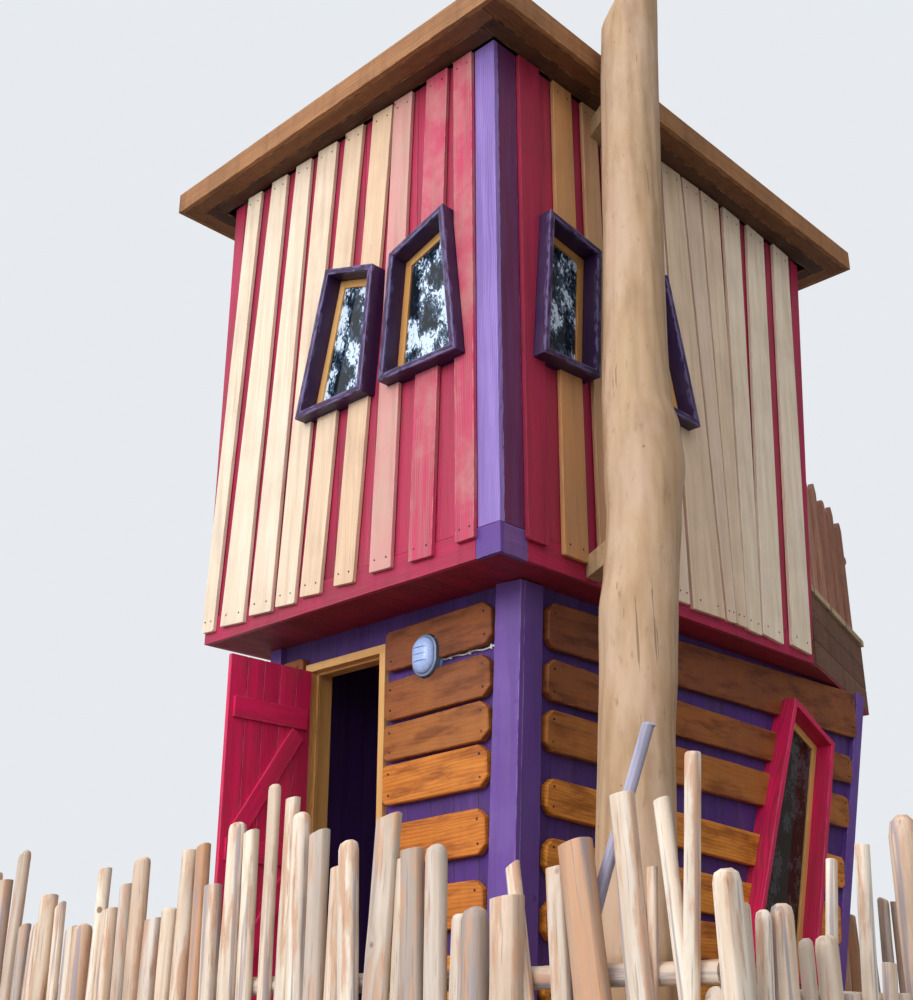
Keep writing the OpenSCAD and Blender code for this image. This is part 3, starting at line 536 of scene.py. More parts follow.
def bend_pole(unit, size, ends, seed):
    """A pole along u, with a rounded cap of height ends[0], a top cut aslant by ends[1] and a bow of ends[2]."""
    a, b, u = unit
    near_top = calc("GREATER_THAN", u, .30)
    down = (.5 - u) * 6.0
    shoulder = size[0] * .5 - ends[0] * calc("POWER", down, 1.7)
    x = either(near_top, u * size[0], shoulder) - (a + .5) * ends[1] * near_top
    flat = calc("MULTIPLY", 1.0 - size[2] / size[1], 1.6, clamp=True)
    far = calc("MAXIMUM", calc("MAXIMUM", calc("ABSOLUTE", a), calc("ABSOLUTE", b)), .3)
    square = (.47 / far - 1.0) * (flat * .75) + 1.0
    lump = noise_over(vector_calc("ADD", vector(a * 2.2, b * 2.2, x * 2.6), seed), 2.0) - .5
    swell = (lump * (p_in["Rough"] * 2.0) + 1.0) * (1.0 - (u + .5) * p_in["Taper"])
    pinch = calc("POWER", calc("SUBTRACT", 1.0, down, clamp=True), 2.0) * .62 * calc("MINIMUM", ends[0] * 30.0, 1.0)
    swell = swell * square * (1.0 - pinch)
    bow = ends[2] * (1.0 - u * u * 4.0)
    return vector(x, a * size[1] * swell + bow, b * size[2] * swell)


rod = put(poles, "GeometryNodeMeshCylinder", {"fill_type": "TRIANGLE_FAN"}, i0=18, i1=12, i2=1, i3=.5, i4=1.0)
grow(poles, rod.outputs[0], p_in, bend_pole, is_round=True)


def pole(a, b, face, width, thick, ends=(0, 0, 0), look=(.5, 0)):
    """A pole with its middle line from a to b."""
    return ((Vector(a) + Vector(b)) / 2, *plank(a, b, face, width, thick, ends, look)[1:])


log_wood = stained("debarked_log", (.74, .44, .20), (.50, .24, .085), (.16, .07, .03), gloss=.5, rings=.03, knots=.22,
                   dirt=.3)
BEAMS_Y = (-1.86, 0, 1.86)
POST_TOP = 1.04
rows = [pole((x, y, 0), (x, y, POST_TOP), FRONT, .216, .216, look=(chance(i, 3), 0))
        for i, (x, y) in enumerate((x, y) for x in (-1.4, 0, 1.62, 3.24) for y in BEAMS_Y)]
settle(grown("deck_log_posts", rows, poles, log_wood, {"Rough": .05, "Taper": .0}, .006, smooth=50), "debarked_log",
       "deck_posts")

sawn_wood = stained("sawn_timber", (.46, .32, .19), (.27, .17, .09), (.10, .06, .03), gloss=.7, knots=.3, dirt=.5)
rows = [plank((-1.51, y, POST_TOP), (3.46, y, POST_TOP), UP, .16, .18, look=(chance(i, 5), 0))
        for i, y in enumerate(BEAMS_Y)]
joists = [x for x in (-.155 + (i + .5) * .56 for i in range(-3, 7)) if -1.4 < x < 3.37] + [-1.48, 3.43]
rows += [plank((x, -1.98, 1.22), (x, 1.97, 1.22), UP, .06, .139, look=(chance(i, 6), 0)) for i, x in enumerate(joists)]
settle(grown("deck_framing", rows, boards, sawn_wood, {"Wobble": .002}), "sawn_timber", "deck_beams", "deck_joists")
rows = [plank((*a, 1.26), (*b, 1.26), face, .2, .04, look=(tone, 0)) for a, b, face, tone in (
    ((-1.55, -1.99), (3.5, -1.99), FRONT, .2), ((-1.51, 1.98), (3.46, 1.98), BACK, .7),
    ((-1.52, -1.98), (-1.52, 2.01), LEFT, .4), ((3.47, -1.98), (3.47, 2.01), RIGHT, .9))]
settle(grown("deck_rim_boards", rows, boards, sawn_wood, {"Wobble": .003}), "sawn_timber", "deck_rim")


# Walking boards: softwood boards screwed across the joists with a finger's gap between them. Their joints
# fall on two joists in turn, and the boards at the trunk are sawn out round it.
def outwards(mesh):
    """Turns the faces of a closed mesh outwards."""
    shape = bmesh.new()
    shape.from_mesh(mesh)
    bmesh.ops.recalc_face_normals(shape, faces=shape.faces)
    shape.to_mesh(mesh)


def circle(steps):
    """Directions round a circle."""
    return [(math.cos(2 * math.pi * k / steps), math.sin(2 * math.pi * k / steps)) for k in range(steps)]


def prism(name, outline, place, low, high):
    """The solid of an opening: outline is drawn on a wall, place(u, v, off) puts it there."""
    n = len(outline)
    mesh = bpy.data.meshes.new(name)
    mesh.from_pydata([place(u, v, off) for off in (low, high) for u, v in outline], [],
                     [list(range(n)), list(range(n, 2 * n))]
                     + [[i, (i + 1) % n, (i + 1) % n + n, i + n] for i in range(n)])
    outwards(mesh)
    return stand(name, mesh)


walk_wood = stained("walking_boards", (.56, .43, .30), (.34, .24, .15), (.13, .08, .05), gloss=.72, knots=.28, dirt=.6)
DECK_TOP = 1.4
TRUNK_X, TRUNK_Y = -.155, -.692
round_it = [(TRUNK_X + .215 * x, TRUNK_Y + .215 * y) for x, y in circle(24)]
trunk_hole = prism("trunk_hole", round_it, lambda u, v, off: (u, v, off), 1.2, 1.6)
rows = []
for i in range(32):
    y, joint = -1.957 + i * .1259, (.125, 1.245)[i % 2]
    rows += [plank((a, y, DECK_TOP - .04), (b, y, DECK_TOP - .04), UP, .119, .04, look=(chance(i, seed), 0))
             for a, b, seed in ((-1.55, joint - .003, 21), (joint + .003, 3.5, 22))]
settle(grown("deck_walking_boards", rows, boards, walk_wood, {"Wobble": .0015}, cuts=[trunk_hole]), "deck_boards",
       "deck_floor")
screwed("deck_board_screws", rows, .03, (.37, .66))


# Trunk: one tall debarked tree in front of the long wall, smooth and orange-tan, bowed at its swelling, with
# knots, a healed seam and drying checks, its top broken off aslant. Two scribed blocks tie it to the wall.
ROUND, HIGH, TALL = 64, 180, 7.15
lean, bow_way, broken = math.tan(math.radians(4.1)), math.radians(44), math.radians(60)
# Each share: height, bow and thickness, as shares of the trunk's own.
shares = [(0, 0, 1), (.1, 0, .98), (.322, 0, .957), (.378, .14, .944), (.429, .38, .989), (.464, .42, 1.022),
          (.49, .68, .993), (.529, .94, 1.01), (.564, 1, 1.116), (.593, .76, 1.087), (.614, .36, .991),
          (.667, .32, .954), (.734, .27, .956), (.818, .08, .967), (.895, 0, .989), (1, 0, 1)]
seam = 1.852
# Each knot: height, angle round the trunk, size.
knots = ((3.86, 4.15, .032), (3.35, 4.75, .028), (4.95, 3.75, .026), (5.45, 4.6, .03), (2.62, 4.25, .03),
         (6.15, 4.1, .026), (1.7, 4.4, .03))


def trunk_axis(z):
    """How far the trunk bows at a height, and how thick it is there."""
    k = min(z / TALL, 1)
    lo, hi = next((p, q) for p, q in zip(shares, shares[1:]) if k <= q[0])
    t = (k - lo[0]) / (hi[0] - lo[0])
    t = t * t * (3 - 2 * t)
    return (lo[1] + (hi[1] - lo[1]) * t) * .052, (lo[2] + (hi[2] - lo[2]) * t) * (.19 - .035 * k)


mesh = bpy.data.meshes.new("trunk")
verts = []
for k in range(HIGH + 1):
    z = TALL * k / HIGH
    bow, plain_r = trunk_axis(z)
    mid_x, mid_y = TRUNK_X - .1 + z * lean + bow * math.cos(bow_way), TRUNK_Y - bow * math.sin(bow_way)
    for j in range(ROUND):
        a = 2 * math.pi * j / ROUND
        x, y = math.cos(a), math.sin(a)
        r = plain_r * (1 + .035 * noise.noise(Vector((x * .9, y * .9, z * .7))))
        r *= 1 + .010 * noise.noise(Vector((x * 3, y * 3, z * 4 + 9)))
        r += .006 * noise.noise(Vector((x * 5, y * 5, z * 1.1)))
        r += .006 * (1 - min(1, abs(z - seam) / .02)) - .004 * (z < seam)
        for knot_z, knot_a, size in knots:
            d = math.hypot(z - knot_z, (((a - knot_a + math.pi) % (2 * math.pi)) - math.pi) * r) / size
            r += .010 * math.exp(-d * d * .5) - .007 * math.exp(-d * d * 6)
        r = min(r, plain_r * 1.05)
        verts.append((mid_x + r * x, mid_y + r * y, z))
rings = [[k * ROUND + j for j in range(ROUND)] for k in range(HIGH + 1)]
mesh.from_pydata(verts, [], [(low[j], low[(j + 1) % ROUND], high[(j + 1) % ROUND], high[j])
                             for low, high in zip(rings, rings[1:]) for j in range(ROUND)]
                 + [rings[0][::-1], rings[-1]])
shape = bmesh.new()
shape.from_mesh(mesh)
tip = Vector((TRUNK_X - .1 + TALL * lean, TRUNK_Y, 6.8)) - Vector((math.cos(bow_way), -math.sin(bow_way), 0)) * .155
slope = Vector((-math.sin(broken) * math.cos(bow_way), math.sin(broken) * math.sin(bow_way), math.cos(broken)))
bmesh.ops.bisect_plane(shape, geom=shape.verts[:] + shape.edges[:] + shape.faces[:], plane_co=tip, plane_no=slope,
                       clear_outer=True)
bmesh.ops.holes_fill(shape, edges=[e for e in shape.edges if e.is_boundary])
bmesh.ops.recalc_face_normals(shape, faces=shape.faces)
shape.to_mesh(mesh)
mark(mesh, "grain", [(v.co.z, v.co.x, v.co.y) for v in mesh.vertices])
mark(mesh, "span", [(0, 0, 0) for v in mesh.vertices])
mark(mesh, "look", [(.2, 0, .4) for v in mesh.vertices])
smoothed(mesh, 50)

trunk_wood = stained("trunk_wood", (.54, .365, .225), (.43, .265, .145), (.16, .075, .035), gloss=.55, rings=.06,
                     knots=.10, dirt=.25)
tree, shader = trunk_wood.node_tree, trunk_wood.node_tree.nodes["Principled BSDF"]
spot = object_place(tree)
check = ramp(noise_over(stretched(spot, 55, 55, 1.5), 2.0), .67, .70)
check = check * ramp(noise_over(stretched(spot, 3, 3, 1.3), 2.0), .52, .60)
colour = blend(ramp(noise_over(stretched(spot, 5, 5, 1.6), 4.0, .6), .42, .68, 0, .6), fed(shader.inputs["Base Color"]),
               (.60, .42, .31))
specks = Formula(put(tree, "ShaderNodeTexVoronoi", Vector=stretched(spot, 1, 1, .8), Scale=7.0).outputs["Distance"])
colour = blend(ramp(specks, .055, .02, 0, .8), colour, (.10, .05, .03))
colour = blend(ramp(noise_over(stretched(spot, 30, 30, 9), 5.0, .7), .58, .74, 0, .6), colour, (.24, .14, .08))
colour = blend(ramp(xyz(spot)[2], seam + .012, seam - .03, 0, .5), colour, (.62, .47, .33), "MULTIPLY")
lead(blend(check * .6, colour, (.12, .065, .035)), shader.inputs["Base Color"])
height = shader.inputs["Normal"].links[0].from_node.inputs["Height"]
lead(fed(height) - check * 1.5, height)
mesh.materials.append(trunk_wood)
settle(stand("tree_trunk", mesh), "debarked_log", "debarked_trunk")


# Palisade: split and peeled stakes, each of its own thickness, height and lean, nailed to a rail pole
# behind them along the deck's edge. Weathered cream, tan and grey-brown wood.
stake_wood = stained("stake_wood", (.94, .84, .72), (.77, .60, .45), (.17, .09, .05), (.40, .33, .32), .8, gloss=.62,
                     rings=.05, knots=.7, wear_and_sheen=0, dirt=.4, second=(.56, .24, .10))
tree, shader = stake_wood.node_tree, stake_wood.node_tree.nodes["Principled BSDF"]
along = attribute(tree, "grain")
colour = fed(shader.inputs["Base Color"])
# Grey strips, patches of bark and dark fibres.
for stretch, detail, rough, low, high, most, tint in (((1.1, 34, 34), 3.0, .5, .55, .64, .8, (.33, .28, .31)),
                                                      ((3.2, 22, 22), 6.0, .62, .50, .64, .8, (.56, .31, .19)),
                                                      ((5, 110, 110), 3.0, .5, .60, .72, .55, (.24, .15, .12))):
    colour = blend(ramp(noise_over(stretched(along, *stretch), detail, rough), low, high, 0, most), colour, tint)
lead(colour, shader.inputs["Base Color"])
# Each near stake, in mm and degrees: place, width, top above the deck, lean; thickness as a share of the
# width, rounded cap, slanted top; tone, stain.
left_near = [
    (-1922, 48, 898, 4.8, 1, .012, 0, 0, 0), (-1802, 34, 603, 3.3, .8, 0, .003, .1, 1.25),
    (-1955, 50, 786, -5.2, .8, 0, .008, .05, .12), (-1808, 80, 808, -3.4, .75, .004, .004, .4, .3),
    (-1525, 68, 627, -2, .6, 0, .006, .35, .4), (-1678, 112, 695, -6.8, .7, 0, .01, .2, 1.85),
    (-1410, 55, 660, -7, .5, 0, .02, 0, 0), (-1325, 114, 555, 1, .7, 0, .012, .25, 1.35),
    (-1195, 92, 530, 0, .8, .04, 0, .9, .95), (-1100, 60, 515, 2, .8, .02, 0, .3, .4),
    (-1020, 78, 730, 0, .8, .035, 0, .15, .5), (-930, 88, 725, -1, .6, 0, .004, 1, .9),
    (-840, 60, 700, 2, .8, .01, 0, .3, .2), (-740, 105, 855, 5, .45, 0, .03, .45, .45),
    (-630, 80, 780, -2, .7, .03, 0, .1, .1), (-540, 70, 700, 1, .8, 0, .01, .2, 1.3),
    (-450, 85, 830, 0, .6, 0, .02, .5, .7), (-355, 75, 900, -1, .8, .03, 0, .2, .15),
    (-265, 62, 960, 1, .7, 0, .006, .1, 0), (-165, 52, 1020, 0, .9, .02, 0, .3, 1.2)]
front_near = [
    (-1530, 92, 582, 3, .75, .035, 0, .15, .1), (-1475, 60, 500, 0, .7, .02, 0, .5, .5),
    (-1404, 54, 491, -5, .8, .03, 0, .05, 0), (-1306, 80, 509, -2, .8, .032, 0, .4, 1.2),
    (-1150, 50, 424, 0, .9, .03, 0, .3, .6), (-1056, 80, 435, .7, .8, .03, 0, .3, 1.15),
    (-1083, 45, 672, -11.6, .7, .003, 0, 0, 0), (-930, 62, 285, 1, .8, .01, 0, .4, .3),
    (-847, 56, 723, -6.7, .8, .004, .006, .05, 0), (-740, 60, 379, -9.4, .7, 0, .002, .4, 1.1),
    (-534, 104, 827, -1.2, .9, .07, 0, .1, 1.5), (-640, 70, 288, -2, .8, .01, 0, .6, .5)]


def fillers(low, high, seed):
    """Like stakes for a stretch that the photo doesn't show, in mm as above."""
    room = 98
    n = math.floor((high - low) / room)
    made = []
    for i in range(n):
        c = [chance(i, seed + k) for k in range(9)]
        made.append((low + (i + .5) * (high - low) / n, room * (.6 + .36 * c[0]), 960 - 400 * c[1], 4 * c[2] - 2,
                     .5 + .5 * c[3], .035 * c[4] * (i % 2), .03 * c[5], c[6],
                     1 + .9 * c[8] if i % 4 == 3 else c[7] ** 2))
    return made


FOOT = .19
on_edge = {"front": (lambda at, z, out: (at, -2.02 - out, z), FRONT),
           "left": (lambda at, z, out: (-1.55 - out, at, z), LEFT),
           "right": (lambda at, z, out: (3.5 + out, at, z), RIGHT)}
for name, stakes, low, high, side, up, seed in (
        ("palisade_left_near", left_near, -2.015, -.11, "left", .325, 1),
        ("palisade_left_far", fillers(-110, 2010, 7), -.105, 2.01, "left", .325, 2),
        ("palisade_front_near", front_near, -1.549, -.42, "front", .258, 3),
        ("palisade_front_far", fillers(-420, 3500, 11), -.415, 3.495, "front", .258, 4),
        ("palisade_right", fillers(-2020, 2010, 23), -2.015, 2.01, "right", .325, 5)):
    place, face = on_edge[side]
    rows = []
    for i, (at, width, top, leaning, split, cap, slant, tone, stain) in enumerate(stakes):
        w, h, tilt = width / 1000, top / 1000 + FOOT, math.radians(leaning)
        at, z = at / 1000 + FOOT * math.sin(tilt), DECK_TOP - FOOT
        head = place(at - h * math.sin(tilt), z + h * math.cos(tilt), w / 2)
        rows.append(pole(place(at, z, w / 2), head, face, w, w * split,
                         (max(cap, .003), slant, .006 * chance(i, seed)), (tone, stain)))
    rows.append(pole(*(place(at, DECK_TOP + up, -.0225) for at in (low, high)), UP, .065, .065, look=(.4, .3)))
    settle(grown(name + "_stakes", rows, poles, stake_wood, {"Rough": .14, "Taper": .06}, .004, smooth=40),
           "stake_wood", name)
stick_wood = stained("grey_stick", (.52, .50, .64), (.36, .34, .46), (.10, .09, .10), gloss=.6, rings=.02, knots=.5,
                     dirt=.3)
row = pole((-1.534, -1.437, 1.409), (-1.534, -1.843, 2.402), (1, 0, 0), .040, .036, (.008, .004, -.030), (.2, 0))
settle(grown("bent_stick", [row], poles, stick_wood, {"Rough": .10, "Taper": .10}, .002, smooth=50), "stake_wood",
       "palisade_left_near")


# Lower storey: a stud frame boarded upright in violet-glazed planks. Thick waney slabs with clipped ends
# are screwed across it with gaps between, stained red-brown near the top and golden orange below.
def dress(material, *nodes):
    """Gives CAD nodes a finish."""
    for node in nodes:
        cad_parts[node].data.materials.clear()
        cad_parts[node].data.materials.append(material)


violet_wall = stained("violet_planks", (.24, .15, .30), (.13, .07, .17), (.05, .02, .06), (.095, .030, .245), .94,
                      gloss=.5, boards=(.16, True), dirt=.45, grime=(.3, .22, .4))
dress(violet_wall, "lower_front_wall", "lower_back_wall", "lower_end_wall", "lower_side_wall_near",
      "lower_side_wall_far", "lower_side_wall_over_door")

LEAN, LOWER_FACE, LOWER_TOP, BACK_FACE = math.radians(3), -.065, 3.6, 1.835
RAKE = .59 / 2.2


def on_front(x, z, off=0.0):
    """A place on the leaning front wall; z is measured along the lean."""
    down, sine, cosine = LOWER_TOP - z, math.sin(LEAN), math.cos(LEAN)
    return Vector((x, LOWER_FACE - off * cosine + down * sine, LOWER_TOP - off * sine - down * cosine))


def on_side(y, z, off=0.0):
    return Vector((LOWER_FACE - off, y, z))


def inset(q, d):
    """The outline q drawn in by d."""
    made = []
    for i in range(len(q)):
        a, b, c = (Vector(q[k % len(q)]) for k in (i - 1, i, i + 1))
        u, v = (b - a).normalized(), (c - b).normalized()
        made.append(tuple(b + (v - u) * d / (u.x * v.y - u.y * v.x)))
    return made


def end_x(z):
    """Where the raking end wall stands."""
    return 2.715 + (z - DECK_TOP) * RAKE


def edge(z):
    """Where the leaning front wall stands."""
    return LOWER_FACE + (LOWER_TOP - z) * math.tan(LEAN)


front_face = (0, -math.cos(LEAN), -math.sin(LEAN))
end_face = (math.cos(math.atan(RAKE)), 0, -math.sin(math.atan(RAKE)))
tall_window = [(1.640, 1.800), (2.335, 1.800), (2.690, 3.195), (2.250, 3.400)]
LAMP_Y, LAMP_Z, LAMP_RISE = .54, 3.325, .0225
lamp_oval = [(LAMP_Y + .092 * x, LAMP_Z + (LAMP_RISE if k < 12 else -LAMP_RISE) + .092 * y)
             for k, (x, y) in enumerate(circle(24))]
saws = [prism("tall_window_saw", inset(tall_window, -.003), on_front, -.2, .4),
        prism("lamp_saw", lamp_oval, on_side, -.05, .2)]
slab_wood = stained("clipped_slabs", (.86, .36, .055), (.56, .175, .018), (.13, .035, .010), (.185, .050, .028), .9,
                    gloss=.40, rings=.02, knots=.42, wear_and_sheen=.25, dirt=.12, pale_edge=(.60, .26, .07), thick=.045,
                    reach=.004)
base = slab_wood.node_tree.nodes["Principled BSDF"].inputs["Base Color"]
soaked = noise_over(stretched(attribute(slab_wood.node_tree, "grain"), 3, 14, 14), 5.0, .6)
lead(blend(ramp(soaked, .45, .68, 0, .6), fed(base), (.24, .10, .05), "MULTIPLY"), base)
SLAB = .045
rows = []
# Front slabs: height and width near the corner, the same 1.55 m further on, stain.
for i, (z0, w0, z1, w1, stain) in enumerate((
        (3.408, .222, 3.425, .262, .95), (3.141, .206, 3.110, .183, .85), (2.899, .200, 2.854, .194, .62),
        (2.593, .172, 2.512, .178, .05), (2.321, .162, 2.222, .205, .0), (2.035, .172, 1.996, .190, .1),
        (1.765, .165, 1.740, .172, .0), (1.515, .150, 1.505, .155, .05))):
    slope = (z1 - z0) / 1.55
    low, high = .092 + .014 * chance(i, 51), end_x(z1 + 1.3 * slope) - .115 - .012 * chance(i, 52)
    widen = (w1 - w0) / 1.55 * (high - low) / w0
    a, b = (on_front(x, z0 + slope * (x - .05)) for x in (low, high))
    rows.append(plank(a, b, front_face, w0 * (1 + widen / 2), SLAB, (.045, .03, widen / (1 + widen / 2)),
                      (chance(i, 53), stain)))
# Side slabs, on both sides of the doorway: top edge, width, stain.
for i, (top, high, stain) in enumerate(((3.518, .216, .9), (3.252, .205, .8), (3.024, .185, .7), (2.82, .2, .08),
                                        (2.521, .205, .0), (2.202, .2, .1), (1.885, .19, .0), (1.59, .16, .05))):
    mid = top - high / 2
    rows += [plank(on_side(.843 + .006 * chance(i, 54), mid - .012), on_side(edge(mid) + .15, mid + .01), LEFT, high,
                   SLAB, (.02, .05, .05), (chance(i, 55), stain)),
             plank(on_side(1.725, mid - .02), on_side(1.518, mid - .012), LEFT, high * .96, SLAB, (.03, .02, .02),
                   (chance(i, 56), stain))]
# Back and end slabs: middle, width, stain.
for i, (mid, wide, stain) in enumerate(((3.415, .205, .92), (3.150, .190, .8), (2.905, .205, .68), (2.645, .180, .1),
                                        (2.390, .175, .0), (2.120, .190, .1), (1.850, .170, .0), (1.585, .160, .05))):
    slope = .02 * chance(i, 57) - .01
    rows += [plank((end_x(mid) - .05, BACK_FACE, mid + slope), (-.01, BACK_FACE, mid - slope), BACK, wide, SLAB,
                   (.04, .035, .06), (chance(i, 58), stain)),
             plank((end_x(mid - slope), edge(mid) + .05, mid - slope), (end_x(mid + slope), 1.78, mid + slope),
                   end_face, wide, SLAB, (.035, .04, .05), (chance(i, 59), stain))]
screwed("slab_screws", rows, .045, radius=.006)
settle(grown("lower_clipped_slabs", rows, boards, slab_wood, {"Wobble": .007, "Wave": 1.6}, .005, saws), "golden_sash")

corner_wood = stained("violet_trim", (.44, .32, .74), (.24, .15, .44), (.07, .03, .10), (.150, .052, .335), .9,
                      gloss=.28, knots=.5, wear_and_sheen=.5, pale_edge=(.34, .24, .52), dirt=.35, grime=(.3, .22, .4),
                      second=(.130, .012, .060), reach=.003)
TRIM = .03
low, high = 1.404, 3.597
rows = [plank(on_side(edge(low) + .0525, low), on_side(edge(high) + .0525, high), LEFT, .165, TRIM, look=(.2, 1)),
        plank(on_front(.0025, low + .005), on_front(.0025, high - .003), front_face, .134, TRIM, look=(.75, 1)),
        plank(on_front(end_x(low) - .0475, low + .008), on_front(end_x(high) - .0475, high - .003), front_face, .094,
              TRIM, look=(.4, 1)),
        plank(on_side(1.787, low), on_side(1.787, high), LEFT, .095, TRIM, look=(.6, 1))]
settle(grown("lower_corner_trim", rows, boards, corner_wood, {"Wobble": .002}), "purple_boards", "lower_corner_boards")


# Frames, casings and sashes: each is four lengths mitred at the corners of a crooked quadrilateral, glued
# and nailed. Casings are deep planed boards that stand out from the wall; sashes sit back inside them.
def mitred(name, frames, material, rounding=.0025, wobble=.0):
    """frames: (four corners, place, outer inset, inner inset, front, back, look) of each frame."""
    shape = bmesh.new()
    layers = {word: shape.loops.layers.float_vector.new(word) for word in ("grain", "span", "look")}
    steps = 8
    for number, (q, place, grow_out, grow_in, front, back, look) in enumerate(frames):
        outer, inner = inset(q, grow_out) if grow_out else q, inset(q, grow_in)
        wide, n = abs(grow_in - grow_out), len(q)
        for side in range(n):
            corners = [Vector(p) for p in (outer[side], outer[(side + 1) % n], inner[(side + 1) % n], inner[side])]
            length = (corners[1] - corners[0]).length
            rings, values = [], {}
            seed = Vector((number * 3.7 + side * 1.3, side * 2.1, number))
            for k in range(steps + 1):
                t = k / steps
                a, b = corners[0].lerp(corners[1], t), corners[3].lerp(corners[2], t)
                stray = wobble * math.sin(math.pi * t) ** .5 * noise.noise(seed + Vector((t * length * 3, 0, 0)))
                a = a + (a - b).normalized() * stray
                rings.append([shape.verts.new(place(*p, off))
                              for p, off in ((a, front), (b, front), (b, back), (a, back))])
                for j, vert in enumerate(rings[k]):
                    y, z = (wide / 2 if j in (0, 3) else -wide / 2), (front if j < 2 else back)
                    values[vert] = seed + Vector((length * t, y, z)), Vector((t - .5, y / wide, .5 if j < 2 else -.5))
            faces = [shape.faces.new(rings[0]), shape.faces.new(rings[-1][::-1])]
            faces += [shape.faces.new((low[j], high[j], high[(j + 1) % 4], low[(j + 1) % 4]))
                      for low, high in zip(rings, rings[1:]) for j in range(4)]
            for loop in (loop for face in faces for loop in face.loops):
                loop[layers["grain"]], loop[layers["span"]] = values[loop.vert]
                loop[layers["look"]] = Vector((chance(side, number + 60), look, wide))
    bmesh.ops.recalc_face_normals(shape, faces=shape.faces)
    mesh = bpy.data.meshes.new(name)
    shape.to_mesh(mesh)
    mesh.materials.append(material)
    piece = stand(name, mesh)
    rounded(piece, rounding, 2)
    piece.data = plain_mesh(piece)
    piece.modifiers.clear()
    return piece


UPPER_SIDE, UPPER_FRONT = -.409, -.243


def on_upper_side(y, z, off=0.0):
    return Vector((UPPER_SIDE - off, y, z))


def on_upper_front(x, z, off=0.0):
    return Vector((x, UPPER_FRONT - off, z))


left_windows = [[(.620, 4.700), (1.160, 4.705), (.950, 5.580), (.550, 5.445)],
                [(-.075, 4.685), (.485, 4.700), (.420, 5.445), (.015, 5.575)]]
front_windows = [[(-.200, 4.685), (.245, 4.705), (.310, 5.500), (-.120, 5.560)],
                 [(.640, 4.735), (1.155, 4.730), (.935, 5.627), (.520, 5.480)]]
every_upper = [(q, on_upper_side) for q in left_windows] + [(q, on_upper_front) for q in front_windows]
low_window = [(tall_window, on_front)]

# Here the pale edge colour and the glaze thinned at the edges reach over most of the front faces and front arrises: a
# painted highlight of sky light on top of worn edges.
casing_wood = stained("deep_violet_casing", (.20, .12, .20), (.11, .06, .11), (.04, .02, .04), (.040, .013, .075), .95,
                      gloss=.28, knots=.1, wear_and_sheen=.6, pale_edge=(.155, .125, .29), dirt=.3, grime=(.3, .25, .4),
                      thick=.26, reach=.020)
settle(mitred("upper_window_casing_boards", [(q, place, 0, .035, .13, -.13, 1) for q, place in every_upper],
              casing_wood, .003, .004), "casing_boards", "upper_window_casings")
crimson_wood = stained("crimson_paint", (.42, .10, .09), (.25, .05, .05), (.12, .02, .03), (.82, .014, .120), .96,
                       gloss=.34, knots=.1, wear_and_sheen=.4, pale_edge=(.72, .07, .20), dirt=.15, grime=(.4, .2, .3), thick=.26)
settle(mitred("tall_window_casing_boards", [(q, place, 0, .035, .13, -.13, 1) for q, place in low_window], crimson_wood,
              .003, .016), "crimson_boards", "tall_window_casing")
sash_wood = stained("golden_sash", (.82, .50, .20), (.62, .32, .10), (.25, .10, .03), (.74, .38, .11), .4, gloss=.3,
                    knots=.1, dirt=.15)
settle(mitred("window_sash_bars", [(q, place, .0353, .08, .03, -.005, .5) for q, place in every_upper + low_window],
              sash_wood), "golden_sash", "window_sashes")


# Panes: thin drawn glass puttied into the sashes, slightly rippled. The low one is painted dark brown as painted
# shade of the unlit room behind it; the high ones are blue-black with a painted reflection of foliage and sky in pale
# and blue.
pane, tree, shader = new_material("window_pane")
spot = object_place(tree)
# The noises below paint a reflection of foliage and sky on the high panes (painted reflection); the dark base colours
# are painted shade of the rooms behind.
reflected_foliage = noise_over(stretched(spot, 44, 44, 26), 4.0, .6, distortion=1.2)
painted_reflection = noise_over(stretched(spot, 7, 7, 6), 2.0) * .6 + reflected_foliage * .5
high_up = ramp(xyz(spot)[2], 3.5, 4.5)
colour = blend(high_up, (.022, .013, .008), (.006, .010, .016))
colour = blend(ramp(painted_reflection, .50, .56) * high_up, colour, (.05, .09, .15))
colour = blend(ramp(painted_reflection, .575, .61) * (high_up * .95 + .05), colour, (.66, .78, .95))
lead(colour, shader.inputs["Base Color"])
shader.inputs["Roughness"].default_value = .04
shader.inputs["Specular IOR Level"].default_value = .3
bumped(shader, noise_over(stretched(spot, 5, 5, 3), 2.0), .08, .004)
dress(pane, "window_glass")


# Door: five upright crimson planks on three ledges and two braces, hung on forged strap hinges. A yellow
# frame with a stop strip is nailed into the wall's opening.
low, high = Vector(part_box("door_leaf")[0]), Vector(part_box("door_leaf")[1])
PLANKS, middle, back = 5, (low.z + high.z) / 2, high.y - .024
wide = (high.x - low.x) / PLANKS
rows = []
for i in range(PLANKS):
    x = low.x + (i + .5) * wide
    rows.append(plank((x, high.y, low.z + .004), (x, high.y, high.z - .003), FRONT, wide - .0035, .024,
                      look=(chance(i, 71), 1)))
for inset_x, z0, z1, width, tone in ((.03, low.z + .26, low.z + .26, .11, .4), (.03, middle, middle, .11, .4),
                                     (.03, high.z - .28, high.z - .28, .11, .4),
                                     (.09, low.z + .34, middle - .08, .09, .7),
                                     (.09, middle + .08, high.z - .36, .09, .2)):
    rows.append(plank((low.x + inset_x, back, z0), (high.x - inset_x, back, z1), FRONT, width, .0155, look=(tone, 1)))
settle(grown("door_planks", rows, boards, crimson_wood, {"Wobble": .0008}, .0025), "crimson_boards", "door_leaf",
       body="door")

